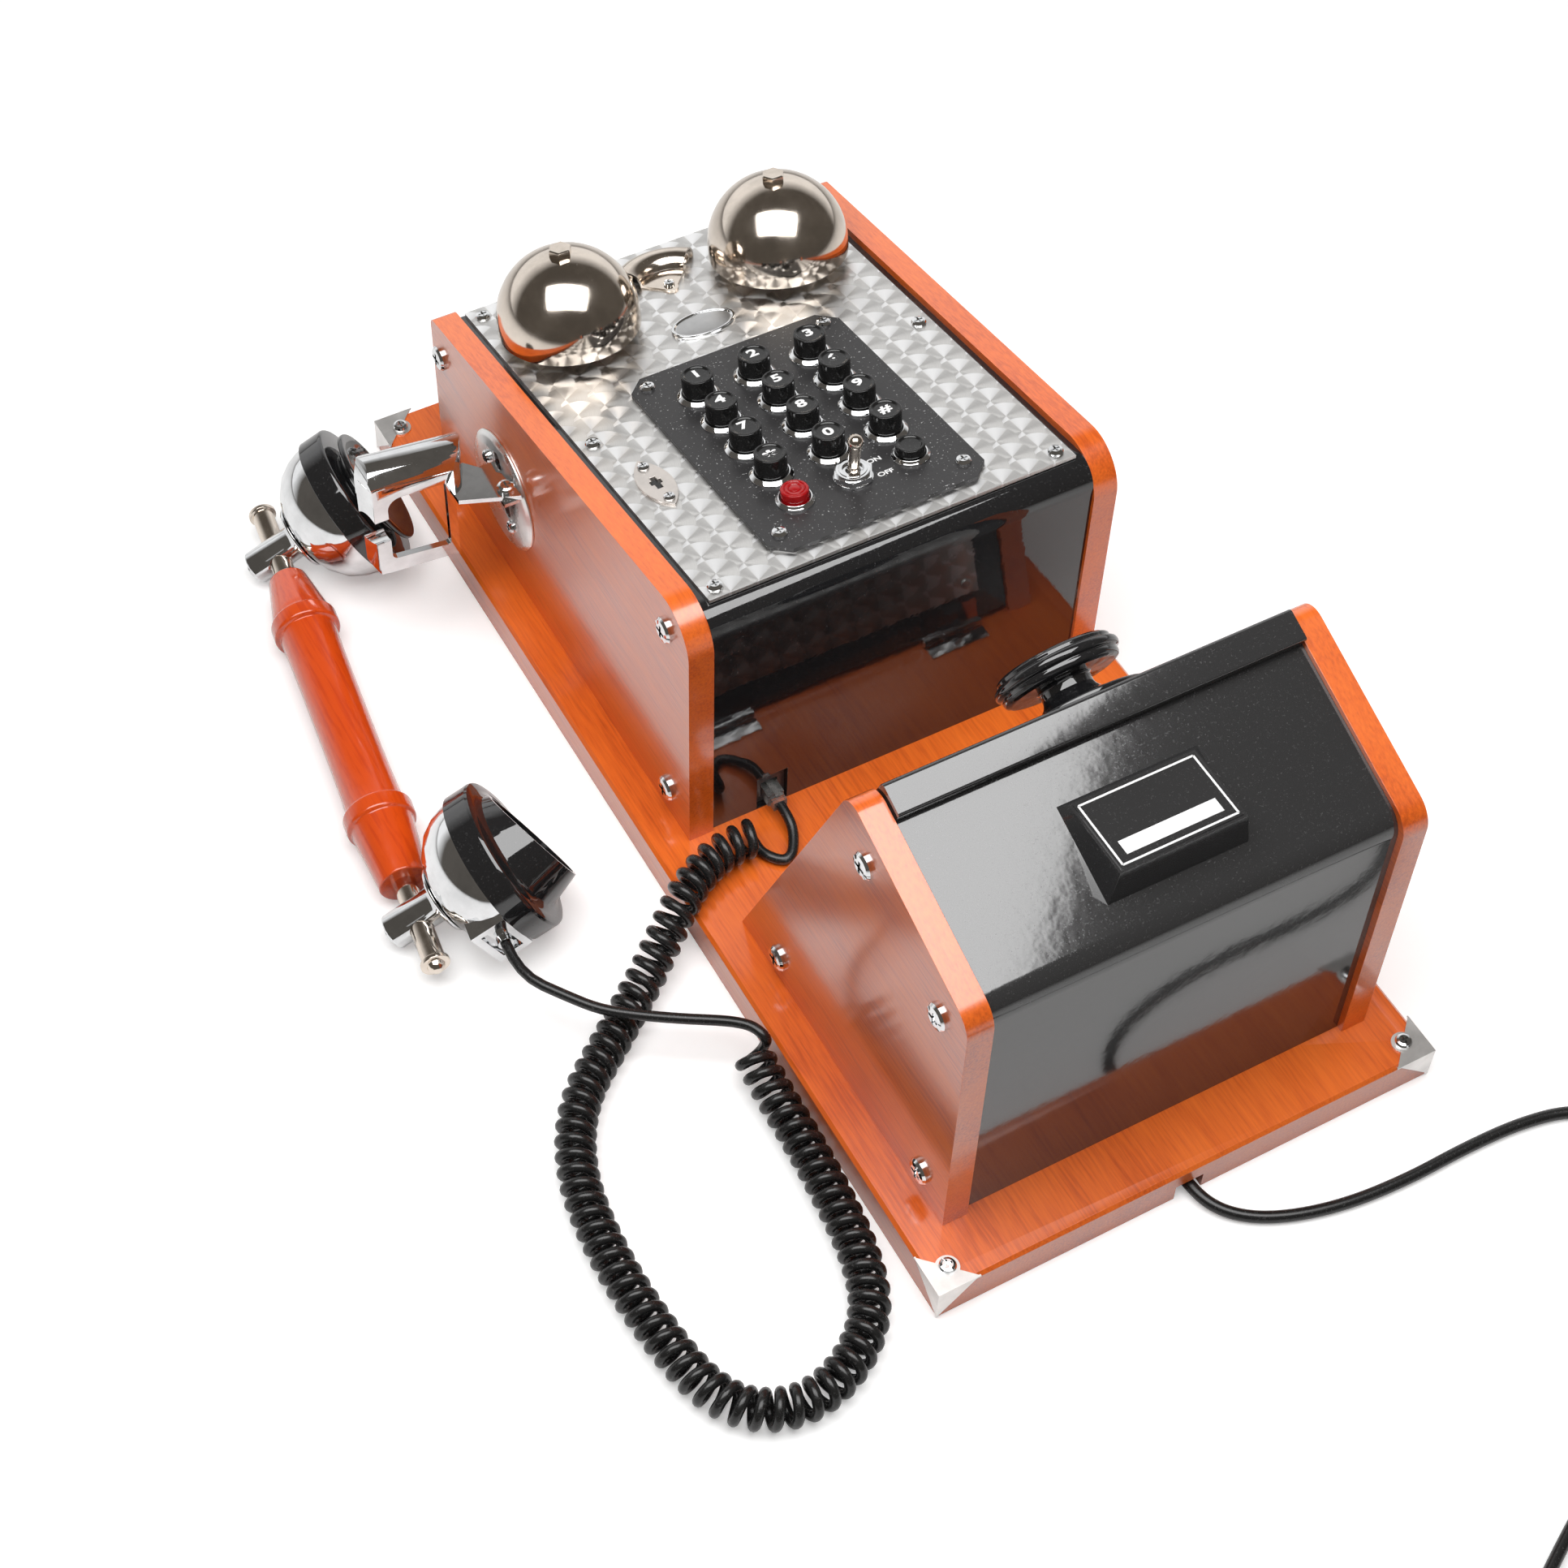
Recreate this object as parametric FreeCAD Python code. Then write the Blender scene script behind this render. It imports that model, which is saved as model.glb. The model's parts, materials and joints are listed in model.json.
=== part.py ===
import FreeCAD, Part
import math
import os
from FreeCAD import Placement, Rotation, Vector

# Wall telephone, lying on its back: X right, Y up the wall, Z out of the wall, in millimetres.
# The origin is the middle of the backboard's back face.

# General clearances
SCREW_GAP = 0.05
SLIDE_GAP = 0.4
PIN_GAP = 0.05

# Backboard
BOARD_WIDTH = 236.0
BOARD_LENGTH = 530.0
BOARD_THICK = 18.0
BOARD_EDGE = 1.5
HANG_HOLE_R = 3.0
HANG_HOLE_DEPTH = 12.0
HANG_SPACING_X = 140.0
HANG_SPACING_Y = 360.0
GROOVE_WIDTH = 13.0
GROOVE_DEPTH = 9.0
GROOVE_LENGTH = 62.0
GROOVE_X = -0.5
BOX_MARGIN = 25.3
BOX_LOW_Y = BOX_MARGIN - BOARD_LENGTH / 2
CORD_HOLE_Y = BOX_LOW_Y + 30.2
CORD_SHELF_Z = 26.0

# Upper case: two wood side panels and a black shell between them
PANEL_OUTER_X = 101.6
CASE_PANEL_THICK = 11.6
CASE_LOW_Y = -27.24
CASE_TOP_Y = 221.8
CASE_LOW_HEIGHT = 158.65
CASE_TOP_HEIGHT = 115.5
CASE_LOW_R = 20.0
CASE_TOP_R = 4.0
CASE_END_INSET = 1.5
SHELL_WALL = 3.0
SHELL_LOW_R = 12.0
SHELL_TOP_R = 3.0

# Front plate and keypad plate, in the front plane's own frame: across, up the slope, out
FRONT_ANGLE = math.degrees(math.atan((CASE_LOW_HEIGHT - CASE_TOP_HEIGHT) / (CASE_TOP_Y - CASE_LOW_Y)))
PLATE_TOP_N = -2.0
PLATE_THICK = 1.5
PLATE_HALF = 86.2
PLATE_LOW_S = 12.0
PLATE_TOP_S = 250.0
PLATE_SCREW_A = 80.3
PLATE_SCREW_S = (18.5, 130.0, 242.7)
PAD_HALF = 51.5
PAD_LOW_S = 20.0
PAD_TOP_S = 158.5
PAD_THICK = 2.0
PAD_CORNER = 8.0
PAD_SCREW_A = 43.6
PAD_SCREW_S = (31.7, 150.5)
PAD_TOP_N = PLATE_TOP_N + PAD_THICK
SHELL_FRONT_INSET = PLATE_THICK - PLATE_TOP_N

# Keys
KEY_A = (-27.5, 0.0, 27.5)
KEY_S = (133.2, 111.4, 89.8, 67.8)
LOW_ROW_S = 47.5
KEY_NAMES = (("1", "2", "3"), ("4", "5", "6"), ("7", "8", "9"), ("star", "0", "hash"))
KEY_R = 7.0
KEY_TOP_N = 11.4
KEY_CAP_LOW_N = 2.2
KEY_STEM_R = 4.0
KEY_STEM_LOW_N = -14.0
BEZEL_R = 9.6
SMALL_BEZEL_R = 8.4
BEZEL_HEIGHT = 2.2
RECALL_R = 6.3
RECALL_TOP_N = 6.2
LENS_R = 6.0
LENS_TOP_N = 6.6
SOCKET_R = 4.0
BOARD_SHEET_N = -22.0
BOARD_SHEET_THICK = 1.6
BOARD_SHEET_MARGIN = 19.0
KEY_SWITCH_TOP_N = -16.3

# Toggle switch
BUSHING_R = 6.0
BUSHING_TOP_N = 4.8
COLLAR_R = 7.2
NUT_FLATS = 15.6
NUT_HEIGHT = 2.4
WASHER_THICK = 0.8
TOGGLE_PIVOT_N = 1.6
TOGGLE_LENGTH = 22.4
TOGGLE_TILT = 10.5
TOGGLE_STEM_R = 2.6
TOGGLE_TIP_R = 3.4
TOGGLE_PIN_R = 1.2
TOGGLE_PIN_HALF = 4.4
TOGGLE_THROAT_R = 3.2
TOGGLE_MOUTH_R = 4.6
TOGGLE_MOUTH_DEPTH = 1.0

# Bells and ringer
BELL_A = 52.8
BELL_S = 208.4
BELL_R = 32.0
BELL_WALL = 2.0
BELL_RIM_N = 3.0
BELL_CENTRE_N = 8.0
BELL_HOLE_R = 3.0
BELL_NUT_FLATS = 9.2
BELL_NUT_HEIGHT = 3.4
POST_R = 3.4
GUARD_A = 1.0
GUARD_S = 213.0
GUARD_BEND_R = 21.9
GUARD_TUBE_R = 7.5
GUARD_WALL = 1.0
GUARD_FROM = 45.0
GUARD_TO = 138.0
GUARD_SCREW_S = 217.4
STRIKER_SWING = 23.0
STRIKER_BALL_R = 2.8
STRIKER_BALL_N = 1.2
STRIKER_BALL_ANGLE = 39.0
STRIKER_ARM_N = -13.0
STRIKER_PIN_R = 1.5

# Trim on the front plate
BADGE_S = 182.0
BADGE_HALF_A = 15.4
BADGE_HALF_S = 8.6
BADGE_THICK = 1.5
KEYHOLE_A = -70.0
KEYHOLE_S = 90.5
KEYHOLE_LENGTH = 35.0
KEYHOLE_WIDTH = 15.0
KEYHOLE_THICK = 1.2
KEYHOLE_SCREW_GAP = 12.0

# Screws: head radius, head height, shank radius, shank length
PLATE_SCREW = (3.4, 1.8, 1.5, 7.5)
TRIM_SCREW = (2.6, 1.4, 1.1, 4.0)
PANEL_BOLT = (5.8, 2.8, 2.4, 16.0)
BRACKET_SCREW = (3.6, 2.2, 1.5, 10.0)
ROSETTE_SCREW = (3.2, 2.0, 1.4, 9.0)
HOOK_SCREW = (4.0, 2.6, 1.9, 9.5)

# Panel bolts, as places along Y and Z
CASE_BOLTS = ((212.7, 98.6), (-7.7, 137.3), (-7.7, 33.4), (212.7, 33.4))
BOX_BOLTS = (
    (BOX_LOW_Y + 74.1, 168.5), (BOX_LOW_Y + 133.0, 32.3),
    (BOX_LOW_Y + 18.2, 143.6), (BOX_LOW_Y + 18.2, 33.5),
)

# Corner brackets
BRACKET_LEG = 18.5
BRACKET_THICK = 0.8
BRACKET_SCREW_IN = 8.8
BRACKET_LUG_R = 5.0

# Rosette, slot and hook
ROSETTE_Y = 149.0
ROSETTE_Z = 72.0
ROSETTE_R = 29.0
ROSETTE_THICK = 2.6
ROSETTE_SCREW_Y = 11.0
ROSETTE_SCREW_Z = 12.5
SLOT_Y = 146.5
SLOT_Z = 78.2
SLOT_LENGTH = 34.0
SLOT_WIDTH = 6.0
SLOT_LEAN = 16.5
LEVER_THICK = 2.0
LEVER_HEIGHT = 12.0
LEVER_PIVOT_X = -52.0
LEVER_ALONG = 6.0
LEVER_REACH_X = -112.5
TAB_TOP_Z = 90.0
TAB_LOW_Y = 124.0
HOOK_SCREW_X = -PANEL_OUTER_X - ROSETTE_THICK - HOOK_SCREW[0] - SLIDE_GAP
HOOK_SCREW_Y = 131.4
ARM_THICK = 2.4

# Cradle: its rim lies in a plane across the board, and depths count up the wall from there
CRADLE_X = HOOK_SCREW_X - 37.6
CRADLE_RIM_Y = HOOK_SCREW_Y + 13.6
CRADLE_Z = TAB_TOP_Z - 14.0
CRADLE_RIM = ((19.1, -28.6), (19.1, 22.8), (-19.2, 28.3), (-19.7, -24.4))
CRADLE_WINDOW = ((15.1, -20.7), (15.1, 18.2), (-12.8, 20.4), (-13.0, -16.7))
CRADLE_BAR_DEPTH = 3.0
CRADLE_WALL_DEPTH = 12.0
CRADLE_PRONG_DEPTH = 9.0
CRADLE_FLARE = 2.8
HOOD_R = 13.0
HOOD_WALL = 3.5
HOOD_MIDDLE_DEPTH = 11.5
HOOD_MIDDLE_Z = 19.5
HOOD_FALL = 8.2
HOOD_DEPTH = 24.4
SEAT_R = 8.2
SEAT_Z = 2.1
SEAT_DEPTH = 5.5
SEAT_MOUTH_HALF = 7.0
SEAT_BACK_HALF = 5.2

# Lower box: two wood side panels, a black shell and a hinged lid
BOX_PANEL_THICK = 11.5
BOX_CORNER_HEIGHT = 158.7
RIDGE_Y = BOX_LOW_Y + 88.7
RIDGE_Z = 193.6
BOX_TOP_Y = BOX_LOW_Y + 164.9
RIDGE_R = 9.0
BOX_CORNER_R = 13.0
BOX_END_INSET = 3.0
BOX_FRONT_INSET = 2.5
BOX_BACK_INSET = 5.4
BOX_SIDE_GAP = 0.6
LIP_LOW_S = 80.0
LIP_PROUD = 4.0
LIP_INSET = 1.9
LID_OUTER_INSET = 1.5
LID_INNER_INSET = 5.0
LID_FOOT_GAP = 3.93
LID_ANGLE = math.degrees(math.atan2(RIDGE_Z - BOARD_THICK, BOX_TOP_Y - RIDGE_Y))
LID_LENGTH = math.hypot(RIDGE_Z - BOARD_THICK, BOX_TOP_Y - RIDGE_Y) - LID_FOOT_GAP
LID_PLATE_HALF = 76.0
LID_PLATE_LOW = 12.0
LID_PLATE_HIGH = LID_LENGTH - 15.5
LID_MOUTH_HALF = LID_PLATE_HALF + 2.0
LID_MOUTH_SHIFT = 4.0
LID_PLATE_THICK = 1.0
LID_SCREW_IN = 6.0
KNOB_A = 9.0
KNOB_S = 34.0
KNOB_BASE_R = 29.0
KNOB_R = 26.4
KNOB_NECK_R = 10.8
PIN_Y = BOX_TOP_Y - 0.6
PIN_Z = 20.7
PIN_R = 1.1
KNUCKLE_R = 2.2
HINGE_X = 59.0
HINGE_LENGTH = 30.0
HINGE_LEAF = 10.0
HINGE_LEAF_THICK = 1.0

# Name block on the lower box: its label plane lies parallel to the wall
BLOCK_HALF = 31.0
BLOCK_TOP_HALF = 27.8
BLOCK_LOW_Y = BOX_LOW_Y + 18.9
BLOCK_TOP_LOW_Y = BOX_LOW_Y + 19.9
BLOCK_TOP_HIGH_Y = BOX_LOW_Y + 55.0
BLOCK_TOP_Z = 181.2
NAME_PLATE_THICK = 0.6

# Handset jack and plug
JACK_X = -60.5
JACK_HALF = 7.5
JACK_LOW_Z = 18.6
JACK_HIGH_Z = 38.5
JACK_DEPTH = 20.0
PLUG_WIDTH = 7.7
PLUG_HEIGHT = 6.6
PLUG_Z = 25.5
PLUG_OUT_Y = -33.5
PLUG_IN_Y = -14.0

# Handset: the mouth end's crossing of arm and rod, the handset's turn and the tilt of its arms
MOUTH_X = -220.3
MOUTH_Y = -5.6
CROSS_Z = 13.9
HANDSET_TURN = 7.4
ARM_TILT = 28.0
HANDSET_SPAN = 220.0
ROD_R = 5.1
ROD_OVERHANG = 25.8
ARM_R = 8.0
ARM_TAIL = 13.4
ARM_FLANGE = 14.7
ARM_FLANGE_R = 15.5
CUP_WALL = 1.6
RING_R = 35.2
RING_BACK = 39.0
RING_FRONT = 51.2
EAR_NECK_R = 20.5
EAR_PLATE_R = 28.3
EAR_PLATE_RISE = 4.6
HORN_FOOT_R = 27.0
HORN_FOOT_N = 53.0
HORN_TAPER = 0.38
HORN_TOP_N = 72.0
HORN_WALL = 1.9
HORN_LIP_H = 24.0
HORN_LIP_N = 53.5
HORN_LIP_ANGLE = 18.8
HANDLE_START = 18.0
CORD_BOX_H = 34.6
CORD_EXIT_K = -3.0
CORD_EXIT_E = 31.0
CORD_GROMMET_R = 3.4
BODY_GAP = 0.3

# Cords: diameters, and routes as points of the centre line
HANDSET_CORD_R = 2.3
LINE_CORD_R = 2.6
CURL_R = 6.4
CURL_PITCH = 6.9
CURL_EXTRA_TURN = 0.22
LEAD_DROP = 7.5
TAIL_DROP = 4.0
CORD_END_GAP = 0.05
LEAD_ROUTE = (
    (-185.0, -79.0, 25.2), (-176.0, -90.5, 24.6), (-163.0, -100.2, 24.2), (-149.0, -109.4, 24.0),
    (-136.0, -117.2, 24.0), (-129.6, -121.6, 24.0), (-124.4, -126.8, 24.2),
)
CURL_ROUTE = (
    (-128.6, -132.0, 15.4), (-128.2, -150.0, 10.0), (-128.2, -167.0, 9.0), (-128.8, -185.0, 9.0),
    (-130.2, -203.0, 9.0), (-131.8, -220.0, 9.0), (-134.8, -236.0, 9.0), (-139.5, -250.0, 9.0),
    (-147.5, -261.0, 9.0), (-158.5, -269.5, 9.0), (-171.5, -275.2, 9.0), (-185.5, -276.4, 9.0),
    (-198.5, -272.0, 9.0), (-207.8, -263.5, 9.0), (-213.8, -251.5, 9.0), (-217.0, -237.0, 9.0),
    (-219.0, -221.0, 9.0), (-220.2, -205.0, 9.0), (-220.4, -188.0, 9.0), (-219.4, -170.0, 9.0),
    (-216.8, -153.0, 9.0), (-212.0, -138.5, 9.0), (-205.5, -126.0, 9.0), (-197.5, -115.5, 9.0),
    (-188.5, -107.3, 9.0), (-178.7, -100.0, 9.0), (-168.5, -92.0, 9.0), (-158.2, -84.0, 9.4),
    (-149.0, -77.5, 11.4), (-140.5, -71.5, 15.2), (-132.5, -66.0, 20.0), (-124.5, -60.5, 24.6),
    (-114.5, -53.5, 26.9), (-102.5, -47.0, 27.3), (-90.0, -44.2, 27.6), (-78.5, -44.6, 27.8),
)
TAIL_ROUTE = (
    (-75.4, -53.4, 20.7), (-71.6, -57.4, 20.8), (-67.2, -56.2, 21.2),
    (-63.8, -51.4, 22.0), (-61.0, -45.4, 23.4), (-60.5, -39.5, 25.3),
)
LINE_ROUTE = (
    (-0.5, -209.0, 26.0), (-0.5, -209.0, 4.4), (0.1, -234.0, 4.6),
    (-0.3, -262.0, 4.2), (3.2, -277.0, 3.4), (14.0, -288.0, 2.9),
    (31.0, -296.0, 2.9), (54.0, -301.5, 2.9), (82.0, -303.5, 2.9), (110.0, -302.8, 2.9),
    (137.0, -304.0, 2.9), (160.0, -309.0, 2.9), (178.0, -323.0, 2.9), (186.0, -345.0, 2.9),
    (182.0, -370.0, 2.9), (168.0, -392.0, 2.9), (147.0, -409.0, 2.9), (122.0, -421.5, 2.9),
    (96.0, -431.0, 2.9), (70.0, -441.5, 2.9), (48.0, -452.0, 3.4), (30.0, -461.5, 5.4),
    (14.0, -470.5, 8.4), (2.0, -477.5, 10.2),
)
COIL_X = -10.0
COIL_Y = -520.0
COIL_MID_R = 29.0
COIL_LAYER_TURNS = 4
COIL_LAYER_GAP = 0.6
COIL_SIDE_GAP = 1.6
COIL_END_RUN = 26.0
TIE_WIDTH = 8.0
TIE_THICK = 1.0
TIE_GAP = 0.2
COIL_LOW_Z = 4.4
LINE_PLUG_LENGTH = 20.0
LINE_PLUG_WIDTH = 9.7
LINE_PLUG_HEIGHT = 7.0

FRONT = Placement(Vector(0, CASE_LOW_Y, CASE_LOW_HEIGHT), Rotation(Vector(1, 0, 0), -FRONT_ANGLE))
SLOPE_ANGLE = math.degrees(math.atan2(RIDGE_Z - BOX_CORNER_HEIGHT, RIDGE_Y - BOX_LOW_Y))
SLOPE = Placement(Vector(0, BOX_LOW_Y, BOX_CORNER_HEIGHT), Rotation(Vector(1, 0, 0), SLOPE_ANGLE))
LID = Placement(Vector(0, RIDGE_Y, RIDGE_Z), Rotation(Vector(1, 0, 0), -LID_ANGLE))
SIDE_LEFT = Rotation(Vector(0, 1, 0), -90)
SIDE_RIGHT = Rotation(Vector(0, 1, 0), 90)


def handset_axes():
    """Unit vectors along the handset's rod, across it and along its arms."""
    turn = math.radians(HANDSET_TURN)
    tilt = math.radians(ARM_TILT)
    along = Vector(math.sin(turn), math.cos(turn), 0)
    arm = Vector(math.cos(turn) * math.cos(tilt), -math.sin(turn) * math.cos(tilt), math.sin(tilt))
    return along, arm.cross(along), arm


ALONG, ACROSS, ARM = handset_axes()
MOUTH_ORIGIN = Vector(MOUTH_X, MOUTH_Y, CROSS_Z)
MOUTH = Placement(MOUTH_ORIGIN, Rotation(ALONG, ACROSS, ARM, "ZXY"))
EAR = Placement(MOUTH_ORIGIN + ALONG * HANDSET_SPAN, Rotation(ALONG, ACROSS, ARM, "ZXY"))
ROD = Placement(MOUTH_ORIGIN, Rotation(ACROSS, ARM, ALONG, "ZXY"))


def placed(shape, placement):
    """A copy of a shape moved from local axes to a placement."""
    moved = shape.copy()
    moved.Placement = placement.multiply(moved.Placement)
    return moved


def at(x, y, z=0.0):
    """A placement that only shifts."""
    return Placement(Vector(x, y, z), Rotation())


def block(x0, x1, y0, y1, z0, z1):
    """A box between two corners."""
    return Part.makeBox(x1 - x0, y1 - y0, z1 - z0, Vector(x0, y0, z0))


def disc(radius, z0, z1, x=0.0, y=0.0):
    """A cylinder along Z."""
    return Part.makeCylinder(radius, z1 - z0, Vector(x, y, z0), Vector(0, 0, 1))


def prism(points, z0, z1):
    """A polygon of (x, y) points drawn out along Z."""
    corners = [Vector(x, y, z0) for x, y in points]
    wire = Part.makePolygon(corners + corners[:1])
    return Part.Face(wire).extrude(Vector(0, 0, z1 - z0))


def turned(points):
    """A profile of (radius, height) points turned about Z."""
    corners = [Vector(radius, 0, height) for radius, height in points]
    wire = Part.makePolygon(corners + corners[:1])
    return Part.Face(wire).revolve(Vector(0, 0, 0), Vector(0, 0, 1), 360)


def hexagon(flats, z0, z1):
    """A six-sided nut blank about Z."""
    radius = flats / math.sqrt(3)
    points = []
    for step in range(6):
        angle = math.radians(60 * step)
        points.append((radius * math.cos(angle), radius * math.sin(angle)))
    return prism(points, z0, z1)


def ellipse_plate(half_x, half_y, z0, z1):
    """A flat ellipse about Z, with half_x the longer half."""
    edge = Part.Ellipse(Vector(0, 0, z0), half_x, half_y).toShape()
    return Part.Face(Part.Wire([edge])).extrude(Vector(0, 0, z1 - z0))


def rounded_wire(corners, radii):
    """A closed wire through the corners, each one an arc of its radius."""
    entries = []
    exits = []
    middles = []
    for index, corner in enumerate(corners):
        before = (corners[index - 1] - corner).normalize()
        after = (corners[(index + 1) % len(corners)] - corner).normalize()
        half = before.getAngle(after) / 2
        reach = radii[index] / math.tan(half)
        middle = radii[index] / math.sin(half) - radii[index]
        entries.append(corner + before * reach)
        exits.append(corner + after * reach)
        middles.append(corner + (before + after).normalize() * middle)
    edges = []
    for index, radius in enumerate(radii):
        if radius > 0:
            edges.append(Part.Arc(entries[index], middles[index], exits[index]).toShape())
        following = entries[(index + 1) % len(corners)]
        edges.append(Part.LineSegment(exits[index], following).toShape())
    return Part.Wire(edges)


def side_solid(points, radii, x0, x1):
    """A rounded outline of (y, z) points drawn out along X."""
    wire = rounded_wire([Vector(x0, y, z) for y, z in points], radii)
    return Part.Face(wire).extrude(Vector(x1 - x0, 0, 0))


def both_sides(shape):
    """A shape and its mirror image across the middle."""
    return [shape, shape.mirror(Vector(0, 0, 0), Vector(1, 0, 0))]


def screw(sizes):
    """A pan-head cross-recess screw along Z, its head above zero."""
    head_r, head_height, shank_r, length = sizes
    profile = (
        (0, -length), (shank_r, -length), (shank_r, 0), (head_r, 0), (head_r, 0.45 * head_height),
        (0.86 * head_r, 0.85 * head_height), (0.6 * head_r, head_height), (0, head_height),
    )
    body = turned(profile)
    arm = 0.55 * head_r
    slit = 0.13 * head_r
    depth = 0.5 * head_height
    for across, along in ((arm, slit), (slit, arm)):
        body = body.cut(block(-across, across, -along, along, head_height - depth, head_height + 1))
    return body


def hole(sizes, z0, z1):
    """The clearance hole for a screw's shank."""
    return disc(sizes[2] + SCREW_GAP, z0, z1)


def cut_all(shape, tools):
    """A shape with every tool cut from it."""
    for tool in tools:
        shape = shape.cut(tool)
    return shape


def fuse_all(shapes):
    """One solid from touching or overlapping shapes."""
    shape = shapes[0]
    for other in shapes[1:]:
        shape = shape.fuse(other)
    return shape.removeSplitter()


def meet(point, direction, other_point, other_direction):
    """The crossing of two lines in the YZ plane."""
    cross = direction[0] * other_direction[1] - direction[1] * other_direction[0]
    gap_y = other_point[0] - point[0]
    gap_z = other_point[1] - point[1]
    reach = (gap_y * other_direction[1] - gap_z * other_direction[0]) / cross
    return point[0] + direction[0] * reach, point[1] + direction[1] * reach


def case_profile(end_inset, front_inset):
    """Corners of the upper case's side outline, drawn in from the wood's edges."""
    slope = math.tan(math.radians(FRONT_ANGLE))
    drop = front_inset / math.cos(math.radians(FRONT_ANGLE))
    low = CASE_LOW_Y + end_inset
    top = CASE_TOP_Y - end_inset
    low_height = CASE_LOW_HEIGHT - slope * (low - CASE_LOW_Y) - drop
    top_height = CASE_LOW_HEIGHT - slope * (top - CASE_LOW_Y) - drop
    return [(low, BOARD_THICK), (low, low_height), (top, top_height), (top, BOARD_THICK)]


def box_lines(front_inset, back_inset):
    """Points and directions of the lower box's front and back slopes."""
    front = (math.cos(math.radians(SLOPE_ANGLE)), math.sin(math.radians(SLOPE_ANGLE)))
    back = (math.cos(math.radians(LID_ANGLE)), -math.sin(math.radians(LID_ANGLE)))
    front_point = (BOX_LOW_Y + front[1] * front_inset, BOX_CORNER_HEIGHT - front[0] * front_inset)
    back_point = (RIDGE_Y + back[1] * back_inset, RIDGE_Z - back[0] * back_inset)
    return front_point, front, back_point, back


def box_profile(end_inset, front_inset, back_inset):
    """Corners of the lower box's side outline, drawn in from the wood's edges."""
    front_point, front, back_point, back = box_lines(front_inset, back_inset)
    low = BOX_LOW_Y + end_inset
    corner = meet(front_point, front, (low, 0), (0, 1))
    ridge = meet(front_point, front, back_point, back)
    foot = meet(back_point, back, (0, BOARD_THICK), (1, 0))
    return [(low, BOARD_THICK), corner, ridge, foot]


def key_places():
    """Name and place of each of the twelve keys."""
    places = []
    for row, names in zip(KEY_S, KEY_NAMES):
        for column, name in zip(KEY_A, names):
            places.append((name, column, row))
    return places


def plate_screw_places():
    """Places of the front plate's screws."""
    return [(side * PLATE_SCREW_A, s) for side in (-1, 1) for s in PLATE_SCREW_S]


def pad_screw_places():
    """Places of the keypad plate's screws."""
    return [(side * PAD_SCREW_A, s) for side in (-1, 1) for s in PAD_SCREW_S]


def bracket_places():
    """Board corners as sideways and upward signs."""
    return [(-1, -1), (1, -1), (1, 1), (-1, 1)]


def make_backboard():
    """The wood board, with its cord groove, hanging holes and bracket screw holes."""
    board = block(-BOARD_WIDTH / 2, BOARD_WIDTH / 2, -BOARD_LENGTH / 2, BOARD_LENGTH / 2, 0, BOARD_THICK)
    top_edges = [edge for edge in board.Edges if edge.BoundBox.ZMin > BOARD_THICK - 0.01]
    board = board.makeChamfer(BOARD_EDGE, top_edges)
    low = -BOARD_LENGTH / 2
    half = GROOVE_WIDTH / 2
    tools = [block(GROOVE_X - half, GROOVE_X + half, low - 1, low + GROOVE_LENGTH, -1, GROOVE_DEPTH)]
    tools.append(disc(half - 1, GROOVE_DEPTH - 2, BOARD_THICK + 1, GROOVE_X, CORD_HOLE_Y))
    for side in (-1, 1):
        for up in (-1, 1):
            x = side * HANG_SPACING_X / 2
            y = up * HANG_SPACING_Y / 2
            tools.append(disc(HANG_HOLE_R, -1, HANG_HOLE_DEPTH, x, y))
    for side, up in bracket_places():
        x = side * (BOARD_WIDTH / 2 - BRACKET_SCREW_IN)
        y = up * (BOARD_LENGTH / 2 - BRACKET_SCREW_IN)
        tools.append(placed(hole(BRACKET_SCREW, 5, BOARD_THICK + 1), at(x, y)))
    return cut_all(board, tools)


def make_brackets():
    """Four folded corner brackets, each a plate with a lug and two pointed flaps."""
    leg = BRACKET_LEG
    thick = BRACKET_THICK
    plate = prism([(-thick, -thick), (leg, -thick), (-thick, leg)], 0, thick)
    lug = disc(BRACKET_LUG_R, 0, thick, BRACKET_SCREW_IN, BRACKET_SCREW_IN)
    flap = Part.Face(Part.makePolygon([
        Vector(-thick, -thick, thick), Vector(-thick, leg, thick), Vector(-thick, leg - 2, 0),
        Vector(-thick, -thick, -BOARD_THICK + 1.2), Vector(-thick, -thick, thick),
    ])).extrude(Vector(thick - 0.02, 0, 0))
    other = flap.mirror(Vector(0, 0, 0), Vector(1, -1, 0))
    shape = fuse_all([plate, lug, flap, other])
    shape = shape.cut(placed(hole(BRACKET_SCREW, -1, 2), at(BRACKET_SCREW_IN, BRACKET_SCREW_IN)))
    brackets = []
    for index, (side, up) in enumerate(bracket_places()):
        turn = Rotation(Vector(0, 0, 1), 90 * index)
        corner = Vector(side * BOARD_WIDTH / 2, up * BOARD_LENGTH / 2, BOARD_THICK)
        brackets.append(placed(shape, Placement(corner, turn)))
    return brackets


def bolt_tools(places, x0, x1):
    """Bolt holes through side panels at places along Y and Z."""
    tools = []
    for y, z in places:
        radius = PANEL_BOLT[2] + SCREW_GAP
        tools.append(Part.makeCylinder(radius, x1 - x0, Vector(x0, y, z), Vector(1, 0, 0)))
    return tools


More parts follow.
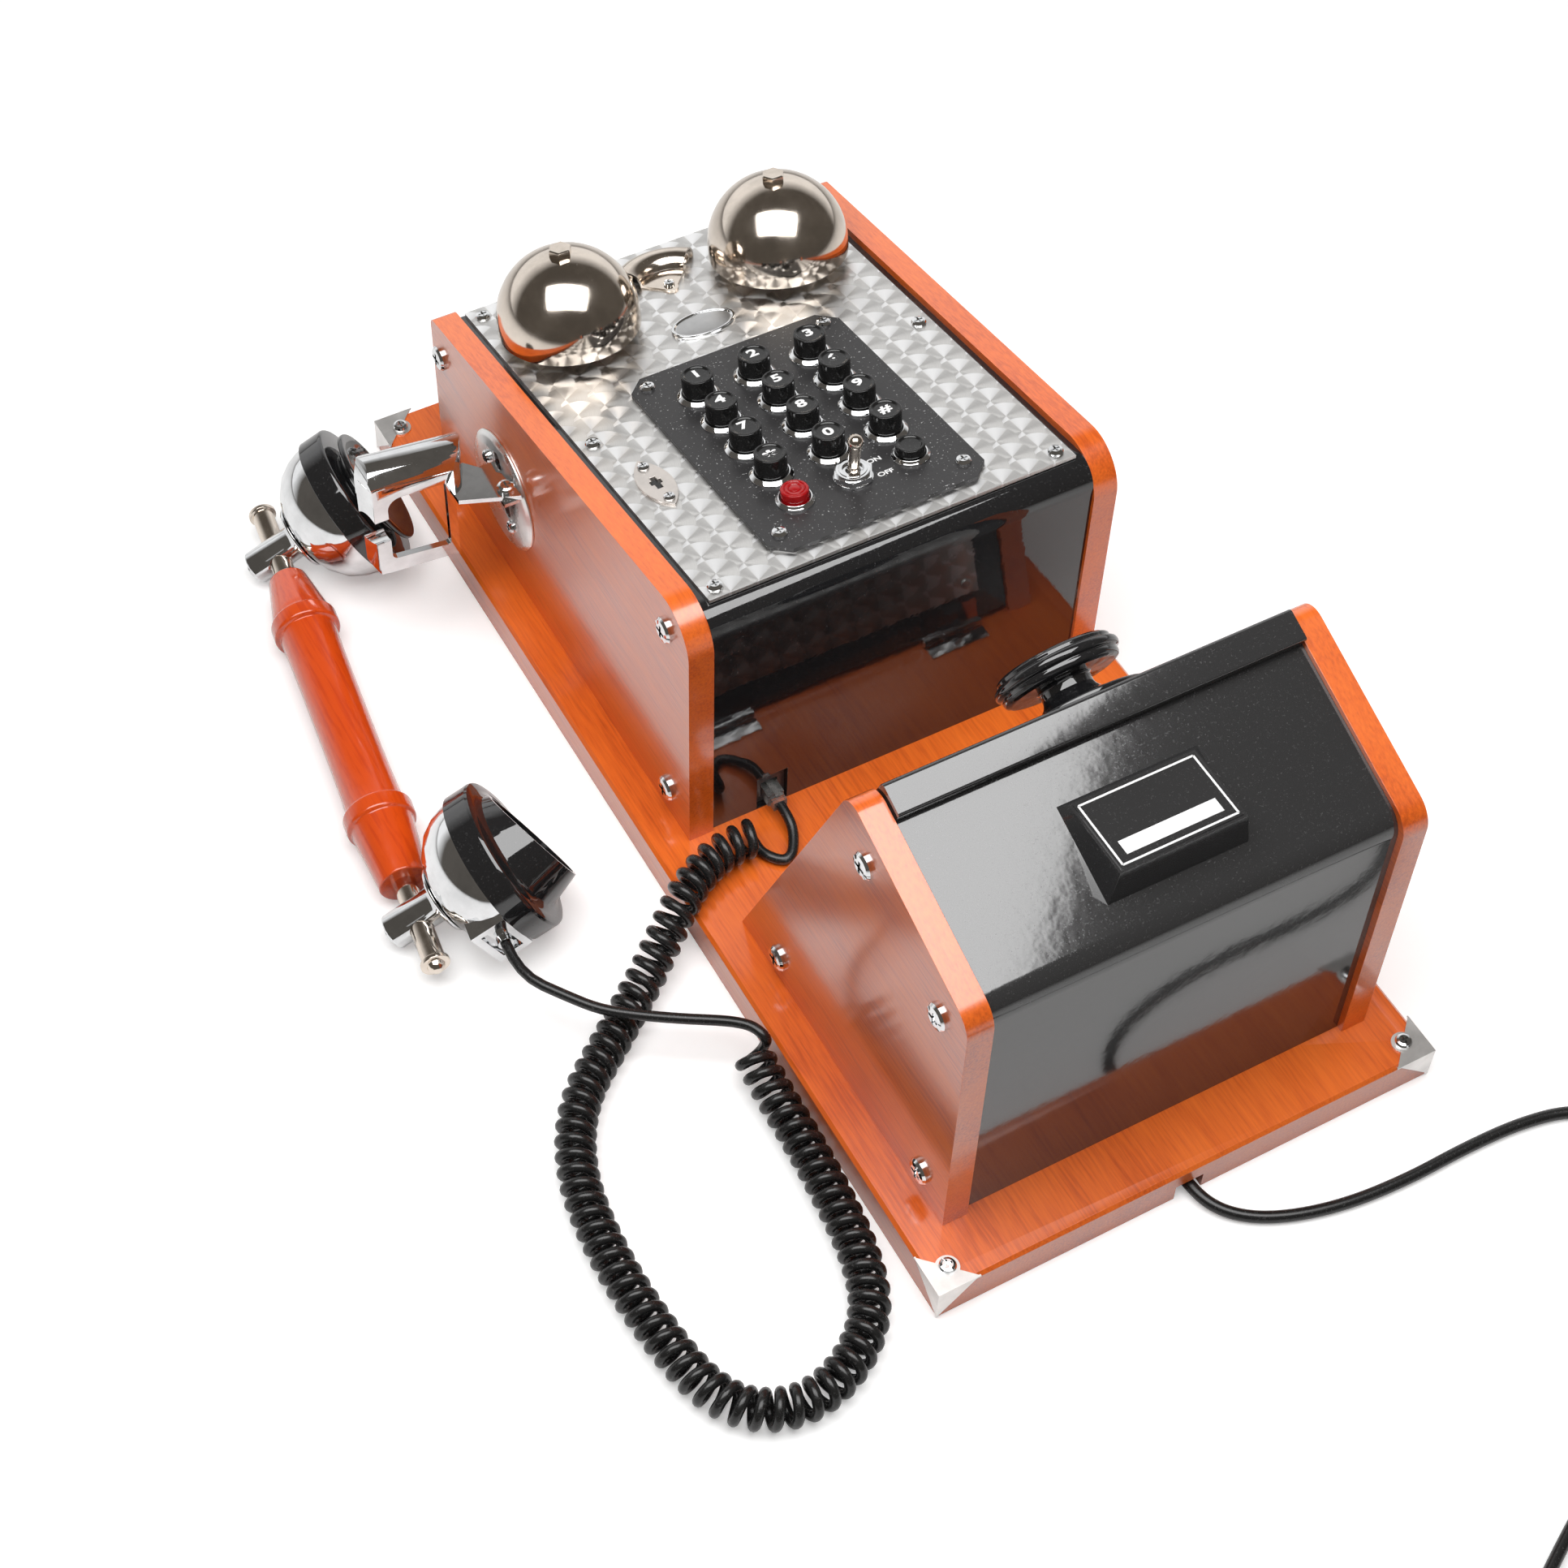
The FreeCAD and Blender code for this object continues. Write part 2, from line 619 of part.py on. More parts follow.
def slot_tool(width, length, x0, x1):
    """The leaning slot that the hook lever moves in."""
    half = length / 2 - width / 2
    bar = block(x0, x1, -width / 2, width / 2, -half, half)
    ends = [
        Part.makeCylinder(width / 2, x1 - x0, Vector(x0, 0, side * half), Vector(1, 0, 0))
        for side in (-1, 1)
    ]
    lean = Placement(Vector(0, SLOT_Y, SLOT_Z), Rotation(Vector(1, 0, 0), -SLOT_LEAN))
    return placed(fuse_all([bar] + ends), lean)


def rosette_screw_places():
    """Rosette screws, along Y and Z."""
    return [(ROSETTE_Y + side * ROSETTE_SCREW_Y, ROSETTE_Z + side * ROSETTE_SCREW_Z) for side in (-1, 1)]


def side_hole(sizes, y, z, x0, x1):
    """A screw's clearance hole along X."""
    return Part.makeCylinder(sizes[2] + SCREW_GAP, x1 - x0, Vector(x0, y, z), Vector(1, 0, 0))


def make_case_panels():
    """The upper case's wood sides; the left one has the hook's slot."""
    inner = PANEL_OUTER_X - CASE_PANEL_THICK
    radii = [0, CASE_LOW_R, CASE_TOP_R, 0]
    right = side_solid(case_profile(0, 0), radii, inner, PANEL_OUTER_X)
    right = cut_all(right, bolt_tools(CASE_BOLTS, inner - 1, PANEL_OUTER_X + 1))
    left = right.mirror(Vector(0, 0, 0), Vector(1, 0, 0))
    left = left.cut(slot_tool(SLOT_WIDTH + 8, SLOT_LENGTH + 8, -PANEL_OUTER_X - 1, -inner + 1))
    for y, z in rosette_screw_places():
        left = left.cut(side_hole(ROSETTE_SCREW, y, z, -PANEL_OUTER_X - 1, -PANEL_OUTER_X + 9))
    return [left, right]


def front_openings():
    """Everything that passes through the front plate and the shell behind it."""
    low = -20
    high = PLATE_TOP_N + 1
    tools = [disc(KEY_STEM_R + SLIDE_GAP, low, high, a, s) for name, a, s in key_places()]
    tools.append(disc(KEY_STEM_R + SLIDE_GAP, low, high, KEY_A[2], LOW_ROW_S))
    tools.append(disc(SOCKET_R, low, high, KEY_A[0], LOW_ROW_S))
    tools.append(disc(BUSHING_R, low, high, KEY_A[1], LOW_ROW_S))
    tools += [placed(hole(PLATE_SCREW, low, high), at(a, s)) for a, s in plate_screw_places()]
    tools += [placed(hole(PLATE_SCREW, low, high), at(a, s)) for a, s in pad_screw_places()]
    tools += [disc(POST_R, low, high, side * BELL_A, BELL_S) for side in (-1, 1)]
    tools.append(placed(hole(TRIM_SCREW, low, high), at(GUARD_A, GUARD_SCREW_S)))
    for side in (-1, 1):
        s = KEYHOLE_S + side * KEYHOLE_SCREW_GAP
        tools.append(placed(hole(TRIM_SCREW, low, high), at(KEYHOLE_A, s)))
    tools.append(striker_slot(low, high))
    return tools


def striker_slot(low, high):
    """The curved slot that the striker's post moves in, hidden under its guard."""
    wide = 2.2
    section = [
        Vector(GUARD_BEND_R - wide, 0, low), Vector(GUARD_BEND_R + wide, 0, low),
        Vector(GUARD_BEND_R + wide, 0, high), Vector(GUARD_BEND_R - wide, 0, high),
    ]
    face = Part.Face(Part.makePolygon(section + section[:1]))
    sweep = 2 * STRIKER_SWING + 12
    slot = face.revolve(Vector(0, 0, 0), Vector(0, 0, 1), sweep)
    turn = Placement(Vector(GUARD_A, GUARD_S, 0), Rotation(Vector(0, 0, 1), 90 - sweep / 2))
    return placed(slot, turn)


def make_case_shell():
    """The black shell: front wall, end walls and side flanges, open at the board."""
    half = PANEL_OUTER_X - CASE_PANEL_THICK
    outer = case_profile(CASE_END_INSET, SHELL_FRONT_INSET)
    inner = case_profile(CASE_END_INSET + SHELL_WALL, SHELL_FRONT_INSET + SHELL_WALL)
    inner = [(inner[0][0], 0), inner[1], inner[2], (inner[3][0], 0)]
    shell = side_solid(outer, [0, SHELL_LOW_R, SHELL_TOP_R, 0], -half, half)
    inner_radii = [0, SHELL_LOW_R - SHELL_WALL, 1, 0]
    shell = shell.cut(side_solid(inner, inner_radii, SHELL_WALL - half, half - SHELL_WALL))
    shell = cut_all(shell, bolt_tools(CASE_BOLTS, -half - 1, half + 1))
    shell = cut_all(shell, [placed(tool, FRONT) for tool in front_openings()])
    shell = shell.cut(slot_tool(SLOT_WIDTH + 8, SLOT_LENGTH + 8, -half - 1, SHELL_WALL - half + 1))
    end = CASE_LOW_Y + CASE_END_INSET
    left = JACK_X - JACK_HALF
    right = JACK_X + JACK_HALF
    return shell.cut(block(left, right, end - 1, end + SHELL_WALL + 1, JACK_LOW_Z, JACK_HIGH_Z))


def make_front_plate():
    """The engine-turned steel plate."""
    plate = block(-PLATE_HALF, PLATE_HALF, PLATE_LOW_S, PLATE_TOP_S, PLATE_TOP_N - PLATE_THICK, PLATE_TOP_N)
    return placed(cut_all(plate, front_openings()), FRONT)


def make_keypad_plate():
    """The black keypad plate with clipped corners."""
    cut = PAD_CORNER
    points = []
    for x, y in ((1, -1), (1, 1), (-1, 1), (-1, -1)):
        side = x * PAD_HALF
        level = PAD_TOP_S if y > 0 else PAD_LOW_S
        first = (side, level - y * cut)
        second = (side - x * cut, level)
        points += [first, second] if x * y > 0 else [second, first]
    plate = prism(points, PLATE_TOP_N, PAD_TOP_N)
    low = PLATE_TOP_N - 1
    high = PAD_TOP_N + 1
    tools = [disc(KEY_STEM_R + SLIDE_GAP, low, high, a, s) for name, a, s in key_places()]
    tools.append(disc(KEY_STEM_R + SLIDE_GAP, low, high, KEY_A[2], LOW_ROW_S))
    tools.append(disc(SOCKET_R, low, high, KEY_A[0], LOW_ROW_S))
    tools.append(disc(BUSHING_R, low, high, KEY_A[1], LOW_ROW_S))
    tools += [placed(hole(PLATE_SCREW, low, high), at(a, s)) for a, s in pad_screw_places()]
    return placed(cut_all(plate, tools), FRONT)


def make_plate_screws():
    """Screws of the front plate and of the keypad plate."""
    shape = screw(PLATE_SCREW)
    screws = [placed(shape, FRONT.multiply(at(a, s, PLATE_TOP_N))) for a, s in plate_screw_places()]
    screws += [placed(shape, FRONT.multiply(at(a, s, PAD_TOP_N))) for a, s in pad_screw_places()]
    return screws


def bezel(inner, outer):
    """A flared ring that stands on the keypad plate."""
    low = PAD_TOP_N
    top = low + BEZEL_HEIGHT
    profile = (
        (inner, low), (outer, low), (outer, low + 0.6), (outer - 0.5, low + 1.1),
        (inner + 0.5, top), (inner, top),
    )
    return turned(profile)


def make_bezels():
    """Chrome rings round the keys, and smaller ones round the recall button and the lamp."""
    ring = bezel(KEY_R + SLIDE_GAP, BEZEL_R)
    small = bezel(RECALL_R + SLIDE_GAP, SMALL_BEZEL_R)
    rings = [placed(ring, FRONT.multiply(at(a, s))) for name, a, s in key_places()]
    return rings + [placed(small, FRONT.multiply(at(a, LOW_ROW_S))) for a in (KEY_A[0], KEY_A[2])]


def make_key(a, s, radius, top):
    """A push button: round cap with a dished top, and a stem down to its switch."""
    profile = (
        (0, KEY_STEM_LOW_N), (KEY_STEM_R, KEY_STEM_LOW_N), (KEY_STEM_R, KEY_CAP_LOW_N),
        (radius, KEY_CAP_LOW_N), (radius, top - 0.8), (radius - 0.8, top), (radius - 1.6, top),
        (0, top - 0.5),
    )
    return placed(turned(profile), FRONT.multiply(at(a, s)))


def make_lamp():
    """The red ringer lamp: a ringed lens with a low dome, on a round socket."""
    edge = LENS_TOP_N - 0.5
    profile = (
        (0, -16), (SOCKET_R, -16), (SOCKET_R, PAD_TOP_N), (LENS_R, PAD_TOP_N), (LENS_R, edge - 0.6),
        (LENS_R - 0.6, edge), (LENS_R - 1.6, edge), (LENS_R - 2.0, edge - 0.4), (LENS_R - 2.5, edge),
        (2.0, LENS_TOP_N - 0.1), (0, LENS_TOP_N),
    )
    return placed(turned(profile), FRONT.multiply(at(KEY_A[0], LOW_ROW_S)))


def make_toggle_switch():
    """The toggle switch's body, threaded bushing and hexagon nut."""
    half = BUSHING_R + 1.0
    body = block(-half - 2.0, half + 2.0, -half, half, -19.0, -PLATE_THICK + PLATE_TOP_N - SHELL_WALL)
    bushing = disc(BUSHING_R, -8, BUSHING_TOP_N)
    washer = disc(NUT_FLATS / 2 + 0.6, PAD_TOP_N, PAD_TOP_N + WASHER_THICK)
    nut_top = PAD_TOP_N + WASHER_THICK + NUT_HEIGHT
    nut = hexagon(NUT_FLATS, PAD_TOP_N + WASHER_THICK, nut_top)
    collar = disc(COLLAR_R, nut_top, BUSHING_TOP_N - 0.3)
    shape = fuse_all([body, bushing, washer, nut, collar])
    mouth = disc(TOGGLE_MOUTH_R, BUSHING_TOP_N - TOGGLE_MOUTH_DEPTH, BUSHING_TOP_N + 1)
    throat = disc(TOGGLE_THROAT_R, TOGGLE_PIVOT_N, BUSHING_TOP_N)
    shape = cut_all(shape, [mouth, throat, toggle_pin(PIN_GAP)])
    return placed(shape, FRONT.multiply(at(KEY_A[1], LOW_ROW_S)))


def toggle_pin(gap):
    """The toggle's cross pin through its pivot, or the bore that it turns in with a gap."""
    half = TOGGLE_PIN_HALF + gap
    return Part.makeCylinder(TOGGLE_PIN_R + gap, 2 * half, Vector(-half, 0, TOGGLE_PIVOT_N), Vector(1, 0, 0))


def make_toggle_lever():
    """The toggle's bat lever on its cross pin, thrown towards its lower position."""
    tip = TOGGLE_LENGTH
    ball = TOGGLE_TIP_R
    stem = TOGGLE_STEM_R
    profile = (
        (0, -0.8), (0.8, -0.6), (1.1, 0), (stem - 0.2, 1.6), (stem - 0.1, 3.0), (stem, tip - 2.3 * ball),
        (0.87 * ball, tip - 1.5 * ball), (ball, tip - ball), (0.87 * ball, tip - 0.5 * ball),
        (0.5 * ball, tip - 0.13 * ball), (0, tip),
    )
    tilt = Placement(Vector(0, 0, TOGGLE_PIVOT_N), Rotation(Vector(1, 0, 0), TOGGLE_TILT))
    shape = placed(turned(profile), tilt).fuse(toggle_pin(0)).removeSplitter()
    return placed(shape, FRONT.multiply(at(KEY_A[1], LOW_ROW_S)))


def make_bells():
    """Two bell gongs: half spheres on short skirts, each with a hole for its post."""
    rim = disc(BELL_R, BELL_RIM_N, BELL_CENTRE_N)
    dome = Part.makeSphere(BELL_R, Vector(0, 0, BELL_CENTRE_N), Vector(0, 0, 1), 0, 90, 360)
    inner = BELL_R - BELL_WALL
    hollow = disc(inner, BELL_RIM_N - 1, BELL_CENTRE_N)
    cave = Part.makeSphere(inner, Vector(0, 0, BELL_CENTRE_N), Vector(0, 0, 1), 0, 90, 360)
    bell = rim.fuse(dome).removeSplitter()
    bell = cut_all(bell, [hollow.fuse(cave), disc(BELL_HOLE_R + SCREW_GAP, 20, 60)])
    return [placed(bell, FRONT.multiply(at(side * BELL_A, BELL_S))) for side in (-1, 1)]


def make_bell_posts():
    """Posts that carry the bells, each with a foot, a shoulder and a hexagon nut."""
    seat = BELL_CENTRE_N + math.sqrt((BELL_R - BELL_WALL) ** 2 - POST_R ** 2) - 0.3
    crown = BELL_CENTRE_N + BELL_R
    profile = (
        (0, -12), (POST_R, -12), (POST_R, PLATE_TOP_N), (7, PLATE_TOP_N), (7, 0.5), (POST_R, 1.5),
        (POST_R, seat), (BELL_HOLE_R - SCREW_GAP, seat), (BELL_HOLE_R - SCREW_GAP, crown + 1), (0, crown + 1),
    )
    nut = hexagon(BELL_NUT_FLATS, crown - 0.12, crown + BELL_NUT_HEIGHT)
    post = turned(profile).fuse(nut).removeSplitter()
    return [placed(post, FRONT.multiply(at(side * BELL_A, BELL_S))) for side in (-1, 1)]


def make_guard():
    """The curved hood over the striker, with its fan-shaped screw tab."""
    shapes = []
    for radius in (GUARD_TUBE_R, GUARD_TUBE_R - GUARD_WALL):
        left = Vector(GUARD_BEND_R - radius, 0, 0)
        right = Vector(GUARD_BEND_R + radius, 0, 0)
        arc = Part.Arc(left, Vector(GUARD_BEND_R, 0, radius), right).toShape()
        face = Part.Face(Part.Wire([arc, Part.LineSegment(right, left).toShape()]))
        shapes.append(face.revolve(Vector(0, 0, 0), Vector(0, 0, 1), GUARD_TO - GUARD_FROM))
    hood = placed(shapes[0].cut(shapes[1]), Placement(Vector(), Rotation(Vector(0, 0, 1), GUARD_FROM)))
    inner = GUARD_BEND_R - GUARD_TUBE_R + 0.5
    first = math.radians(GUARD_FROM)
    last = math.radians(GUARD_TO)
    middle = (first + last) / 2
    points = [Vector(inner * math.cos(turn), inner * math.sin(turn), 0) for turn in (first, middle, last)]
    arc = Part.Arc(points[0], points[1], points[2]).toShape()
    foot = Vector(0, -1.5, 0)
    sides = [Part.LineSegment(points[2], foot).toShape(), Part.LineSegment(foot, points[0]).toShape()]
    tab = Part.Face(Part.Wire([arc] + sides)).extrude(Vector(0, 0, 1.0))
    tip = disc(3.4, 0, 1.0, 0, 2.4)
    shape = fuse_all([hood, tab, tip])
    shape = shape.cut(placed(hole(TRIM_SCREW, -1, 3), at(0, GUARD_SCREW_S - GUARD_S)))
    return placed(shape, FRONT.multiply(at(GUARD_A, GUARD_S, PLATE_TOP_N)))


def make_striker():
    """The rocking striker: two balls on a bent wire, a post and an arm on its pivot."""
    wire_r = 0.8
    balls = []
    for side in (-1, 1):
        angle = math.radians(90 + side * STRIKER_BALL_ANGLE)
        centre = Vector(GUARD_BEND_R * math.cos(angle), GUARD_BEND_R * math.sin(angle), STRIKER_BALL_N)
        balls.append(Part.makeSphere(STRIKER_BALL_R, centre))
    ring = Part.makeTorus(GUARD_BEND_R, wire_r, Vector(0, 0, STRIKER_BALL_N), Vector(0, 0, 1), 0, 360,
                          2 * STRIKER_BALL_ANGLE)
    ring = placed(ring, Placement(Vector(), Rotation(Vector(0, 0, 1), 90 - STRIKER_BALL_ANGLE)))
    post = disc(1.3, STRIKER_ARM_N, STRIKER_BALL_N, 0, GUARD_BEND_R)
    arm = block(-2.5, 2.5, 0, GUARD_BEND_R + 2, STRIKER_ARM_N - 1, STRIKER_ARM_N + 1)
    hub = disc(4.0, STRIKER_ARM_N - 1, STRIKER_ARM_N + 1)
    shape = fuse_all([balls[0], balls[1], ring, post, arm, hub])
    shape = shape.cut(disc(STRIKER_PIN_R + PIN_GAP, STRIKER_ARM_N - 2, STRIKER_ARM_N + 2))
    return placed(shape, FRONT.multiply(at(GUARD_A, GUARD_S)))


def make_ringer():
    """The ringer's frame with its pivot pin, two stand-offs and a pair of coils."""
    behind = PLATE_TOP_N - PLATE_THICK - SHELL_WALL
    frame_top = STRIKER_ARM_N - 3.0
    frame = block(-24, 24, -26, 6, frame_top - 1.6, frame_top)
    pin = disc(STRIKER_PIN_R, frame_top, STRIKER_ARM_N + 2.5)
    shapes = [frame, pin]
    for side in (-1, 1):
        shapes.append(disc(3.0, frame_top, behind, side * 19, -21))
        shapes.append(disc(8.0, frame_top - 24, frame_top - 1.6, side * 11, -13))
        shapes.append(disc(9.5, frame_top - 26, frame_top - 24, side * 11, -13))
    return placed(fuse_all(shapes), FRONT.multiply(at(GUARD_A, GUARD_S)))


def make_badge():
    """The bare oval badge."""
    badge = ellipse_plate(BADGE_HALF_A, BADGE_HALF_S, PLATE_TOP_N, PLATE_TOP_N + BADGE_THICK)
    return placed(badge, FRONT.multiply(at(0, BADGE_S)))


def make_escutcheon():
    """The pointed oval keyhole plate, with a cross-shaped keyhole."""
    half_length = KEYHOLE_LENGTH / 2
    half_width = KEYHOLE_WIDTH / 2
    top = Vector(0, half_length, 0)
    low = Vector(0, -half_length, 0)
    sides = [Part.Arc(top, Vector(side * half_width, 0, 0), low).toShape() for side in (-1, 1)]
    plate = Part.Face(Part.Wire(sides)).extrude(Vector(0, 0, KEYHOLE_THICK))
    tools = [block(-2.6, 2.6, -1.2, 1.6, -1, 3), block(-1.3, 1.3, -4.4, 4.0, -1, 3)]
    for side in (-1, 1):
        tools.append(placed(hole(TRIM_SCREW, -1, 3), at(0, side * KEYHOLE_SCREW_GAP)))
    return placed(cut_all(plate, tools), FRONT.multiply(at(KEYHOLE_A, KEYHOLE_S, PLATE_TOP_N)))


def make_trim_screws():
    """Small screws of the brackets, the rosette, the keyhole plate and the guard."""
    screws = []
    bracket_screw = screw(BRACKET_SCREW)
    for side, up in bracket_places():
        x = side * (BOARD_WIDTH / 2 - BRACKET_SCREW_IN)
        y = up * (BOARD_LENGTH / 2 - BRACKET_SCREW_IN)
        screws.append(placed(bracket_screw, at(x, y, BOARD_THICK + BRACKET_THICK)))
    for y, z in rosette_screw_places():
        spot = Vector(-PANEL_OUTER_X - ROSETTE_THICK, y, z)
        screws.append(placed(screw(ROSETTE_SCREW), Placement(spot, SIDE_LEFT)))
    small = screw(TRIM_SCREW)
    for side in (-1, 1):
        spot = at(KEYHOLE_A, KEYHOLE_S + side * KEYHOLE_SCREW_GAP, PLATE_TOP_N + KEYHOLE_THICK)
        screws.append(placed(small, FRONT.multiply(spot)))
    screws.append(placed(small, FRONT.multiply(at(GUARD_A, GUARD_SCREW_S, PLATE_TOP_N + 1.0))))
    return screws


def make_panel_bolts():
    """Bolts through the wood sides of the case and of the box."""
    bolt = screw(PANEL_BOLT)
    bolts = []
    for y, z in CASE_BOLTS + BOX_BOLTS:
        bolts.append(placed(bolt, Placement(Vector(-PANEL_OUTER_X, y, z), SIDE_LEFT)))
        bolts.append(placed(bolt, Placement(Vector(PANEL_OUTER_X, y, z), SIDE_RIGHT)))
    return bolts


def make_rosette():
    """The round plate round the hook's slot, with a bevelled rim."""
    profile = ((0, 0), (ROSETTE_R, 0), (ROSETTE_R, 1.0), (ROSETTE_R - 2.4, ROSETTE_THICK), (0, ROSETTE_THICK))
    plate = turned(profile)
    spot = Placement(Vector(-PANEL_OUTER_X, ROSETTE_Y, ROSETTE_Z), SIDE_LEFT)
    plate = placed(plate, spot)
    plate = plate.cut(slot_tool(SLOT_WIDTH, SLOT_LENGTH, -PANEL_OUTER_X - 5, -PANEL_OUTER_X + 1))
    for y, z in rosette_screw_places():
        plate = plate.cut(side_hole(ROSETTE_SCREW, y, z, -PANEL_OUTER_X - 5, -PANEL_OUTER_X + 1))
    return plate


def lever_frame():
    """Placement along the slot: Y across the slot, Z up along it, at the lever's height."""
    return Placement(Vector(0, SLOT_Y, SLOT_Z), Rotation(Vector(1, 0, 0), -SLOT_LEAN))


def make_hook_lever():
    """The hook's lever: a flat strip through the slot, folded over to a screw tab outside."""
    half = LEVER_THICK / 2
    low = LEVER_ALONG - LEVER_HEIGHT / 2
    high = LEVER_ALONG + LEVER_HEIGHT / 2
    strip = placed(block(LEVER_REACH_X, LEVER_PIVOT_X + 6, -half, half, low, high - 1.5), lever_frame())
    outside = -PANEL_OUTER_X - ROSETTE_THICK - 0.8
    fold_y = SLOT_Y + (TAB_TOP_Z - SLOT_Z) * math.tan(math.radians(SLOT_LEAN))
    tab = block(LEVER_REACH_X, outside, TAB_LOW_Y + 1, fold_y + 1, TAB_TOP_Z - LEVER_THICK, TAB_TOP_Z)
    shape = fuse_all([strip, tab])
    pivot = placed(Part.makeCylinder(2.5 + PIN_GAP, 20, Vector(LEVER_PIVOT_X, -10, LEVER_ALONG),
                                     Vector(0, 1, 0)), lever_frame())
    screw_hole = placed(hole(HOOK_SCREW, TAB_TOP_Z - 5, TAB_TOP_Z + 5), at(HOOK_SCREW_X, HOOK_SCREW_Y))
    return cut_all(shape, [pivot, screw_hole])


def make_hook_bracket():
    """The bracket inside the case that carries the hook's pivot pin."""
    pin = Part.makeCylinder(2.5, 18, Vector(LEVER_PIVOT_X, -9, LEVER_ALONG), Vector(0, 1, 0))
    cheeks = [block(LEVER_PIVOT_X - 6, LEVER_PIVOT_X + 8, side * 8 - 1, side * 8 + 1, LEVER_ALONG - 7, 22)
              for side in (-1, 1)]
    bridge = block(LEVER_PIVOT_X - 6, LEVER_PIVOT_X + 8, -9, 9, 20, 22)
    side_leaf = block(SHELL_WALL - PANEL_OUTER_X + CASE_PANEL_THICK, LEVER_PIVOT_X - 5, -9, 9, 20, 22)
    foot = block(SHELL_WALL - PANEL_OUTER_X + CASE_PANEL_THICK, 5 - PANEL_OUTER_X + CASE_PANEL_THICK,
                 -9, 9, 20, 36)
    return placed(fuse_all([pin, cheeks[0], cheeks[1], bridge, side_leaf, foot]), lever_frame())


def make_hook_screw():
    """The cradle's clamping screw and its nut."""
    top = TAB_TOP_Z + ARM_THICK
    body = screw(HOOK_SCREW).fuse(hexagon(6.0, -ARM_THICK - LEVER_THICK - 2.6, -ARM_THICK - LEVER_THICK))
    return placed(body.removeSplitter(), at(HOOK_SCREW_X, HOOK_SCREW_Y, top))


def cradle_outline(offsets, radii, depth):
    """A rounded outline of (x, z) offsets from the cradle's middle, drawn back from the rim plane."""
    corners = [Vector(CRADLE_X + x, CRADLE_RIM_Y, CRADLE_Z + z) for x, z in offsets]
    return Part.Face(rounded_wire(corners, radii)).extrude(Vector(0, depth, 0))


def cradle_plan(offsets, low, high):
    """A polygon of (x, depth) offsets from the cradle's rim, drawn up between two heights."""
    points = [(CRADLE_X + x, CRADLE_RIM_Y + depth) for x, depth in offsets]
    return prism(points, CRADLE_Z + low, CRADLE_Z + high)


def hood_bar(radius, x0, x1):
    """A round bar along the hood, which falls away to the right."""
    middle = Vector(CRADLE_X, CRADLE_RIM_Y + HOOD_MIDDLE_DEPTH, CRADLE_Z + HOOD_MIDDLE_Z)
    bar = Part.makeCylinder(radius, x1 - x0, Vector(x0, 0, 0), Vector(1, 0, 0))
    return placed(bar, Placement(middle, Rotation(Vector(0, 1, 0), HOOD_FALL)))


def cradle_hood():
    """The cradle's arched top, with walls at its left and right ends."""
    right = CRADLE_RIM[0][0]
    left = CRADLE_RIM[2][0]
    low = CRADLE_WINDOW[1][1]
    plan = cradle_plan([(right, 0), (right + 5.6, 6.5), (right + 10.2, 15), (right + 11, HOOD_DEPTH),
                        (left + 6, HOOD_DEPTH), (left - CRADLE_FLARE, CRADLE_WALL_DEPTH + 1), (left, 0)],
                       low, low + 40)
    hood = plan.common(hood_bar(HOOD_R, left - 10, right + 20))
    hollow = hood_bar(HOOD_R - HOOD_WALL, left + 9, right + 4)
    return hood.cut(hollow)


def seat_tool():
    """The notch in the cradle's left wall: a tapered slot with a round seat in it."""
    x0 = CRADLE_X + CRADLE_RIM[2][0] - 10
    x1 = CRADLE_X + CRADLE_WINDOW[2][0] + 0.5
    middle = CRADLE_Z + SEAT_Z
    y0 = CRADLE_RIM_Y
    points = [(y0 - 1, middle - SEAT_MOUTH_HALF), (y0 + CRADLE_WALL_DEPTH, middle - SEAT_BACK_HALF),
              (y0 + 30, middle - SEAT_BACK_HALF), (y0 + 30, middle + SEAT_BACK_HALF),
              (y0 + CRADLE_WALL_DEPTH, middle + SEAT_BACK_HALF), (y0 - 1, middle + SEAT_MOUTH_HALF)]
    slot = side_solid(points, [0] * 6, x0, x1)
    seat = Part.makeCylinder(SEAT_R, x1 - x0, Vector(x0, y0 + SEAT_DEPTH, middle), Vector(1, 0, 0))
    return slot.fuse(seat)


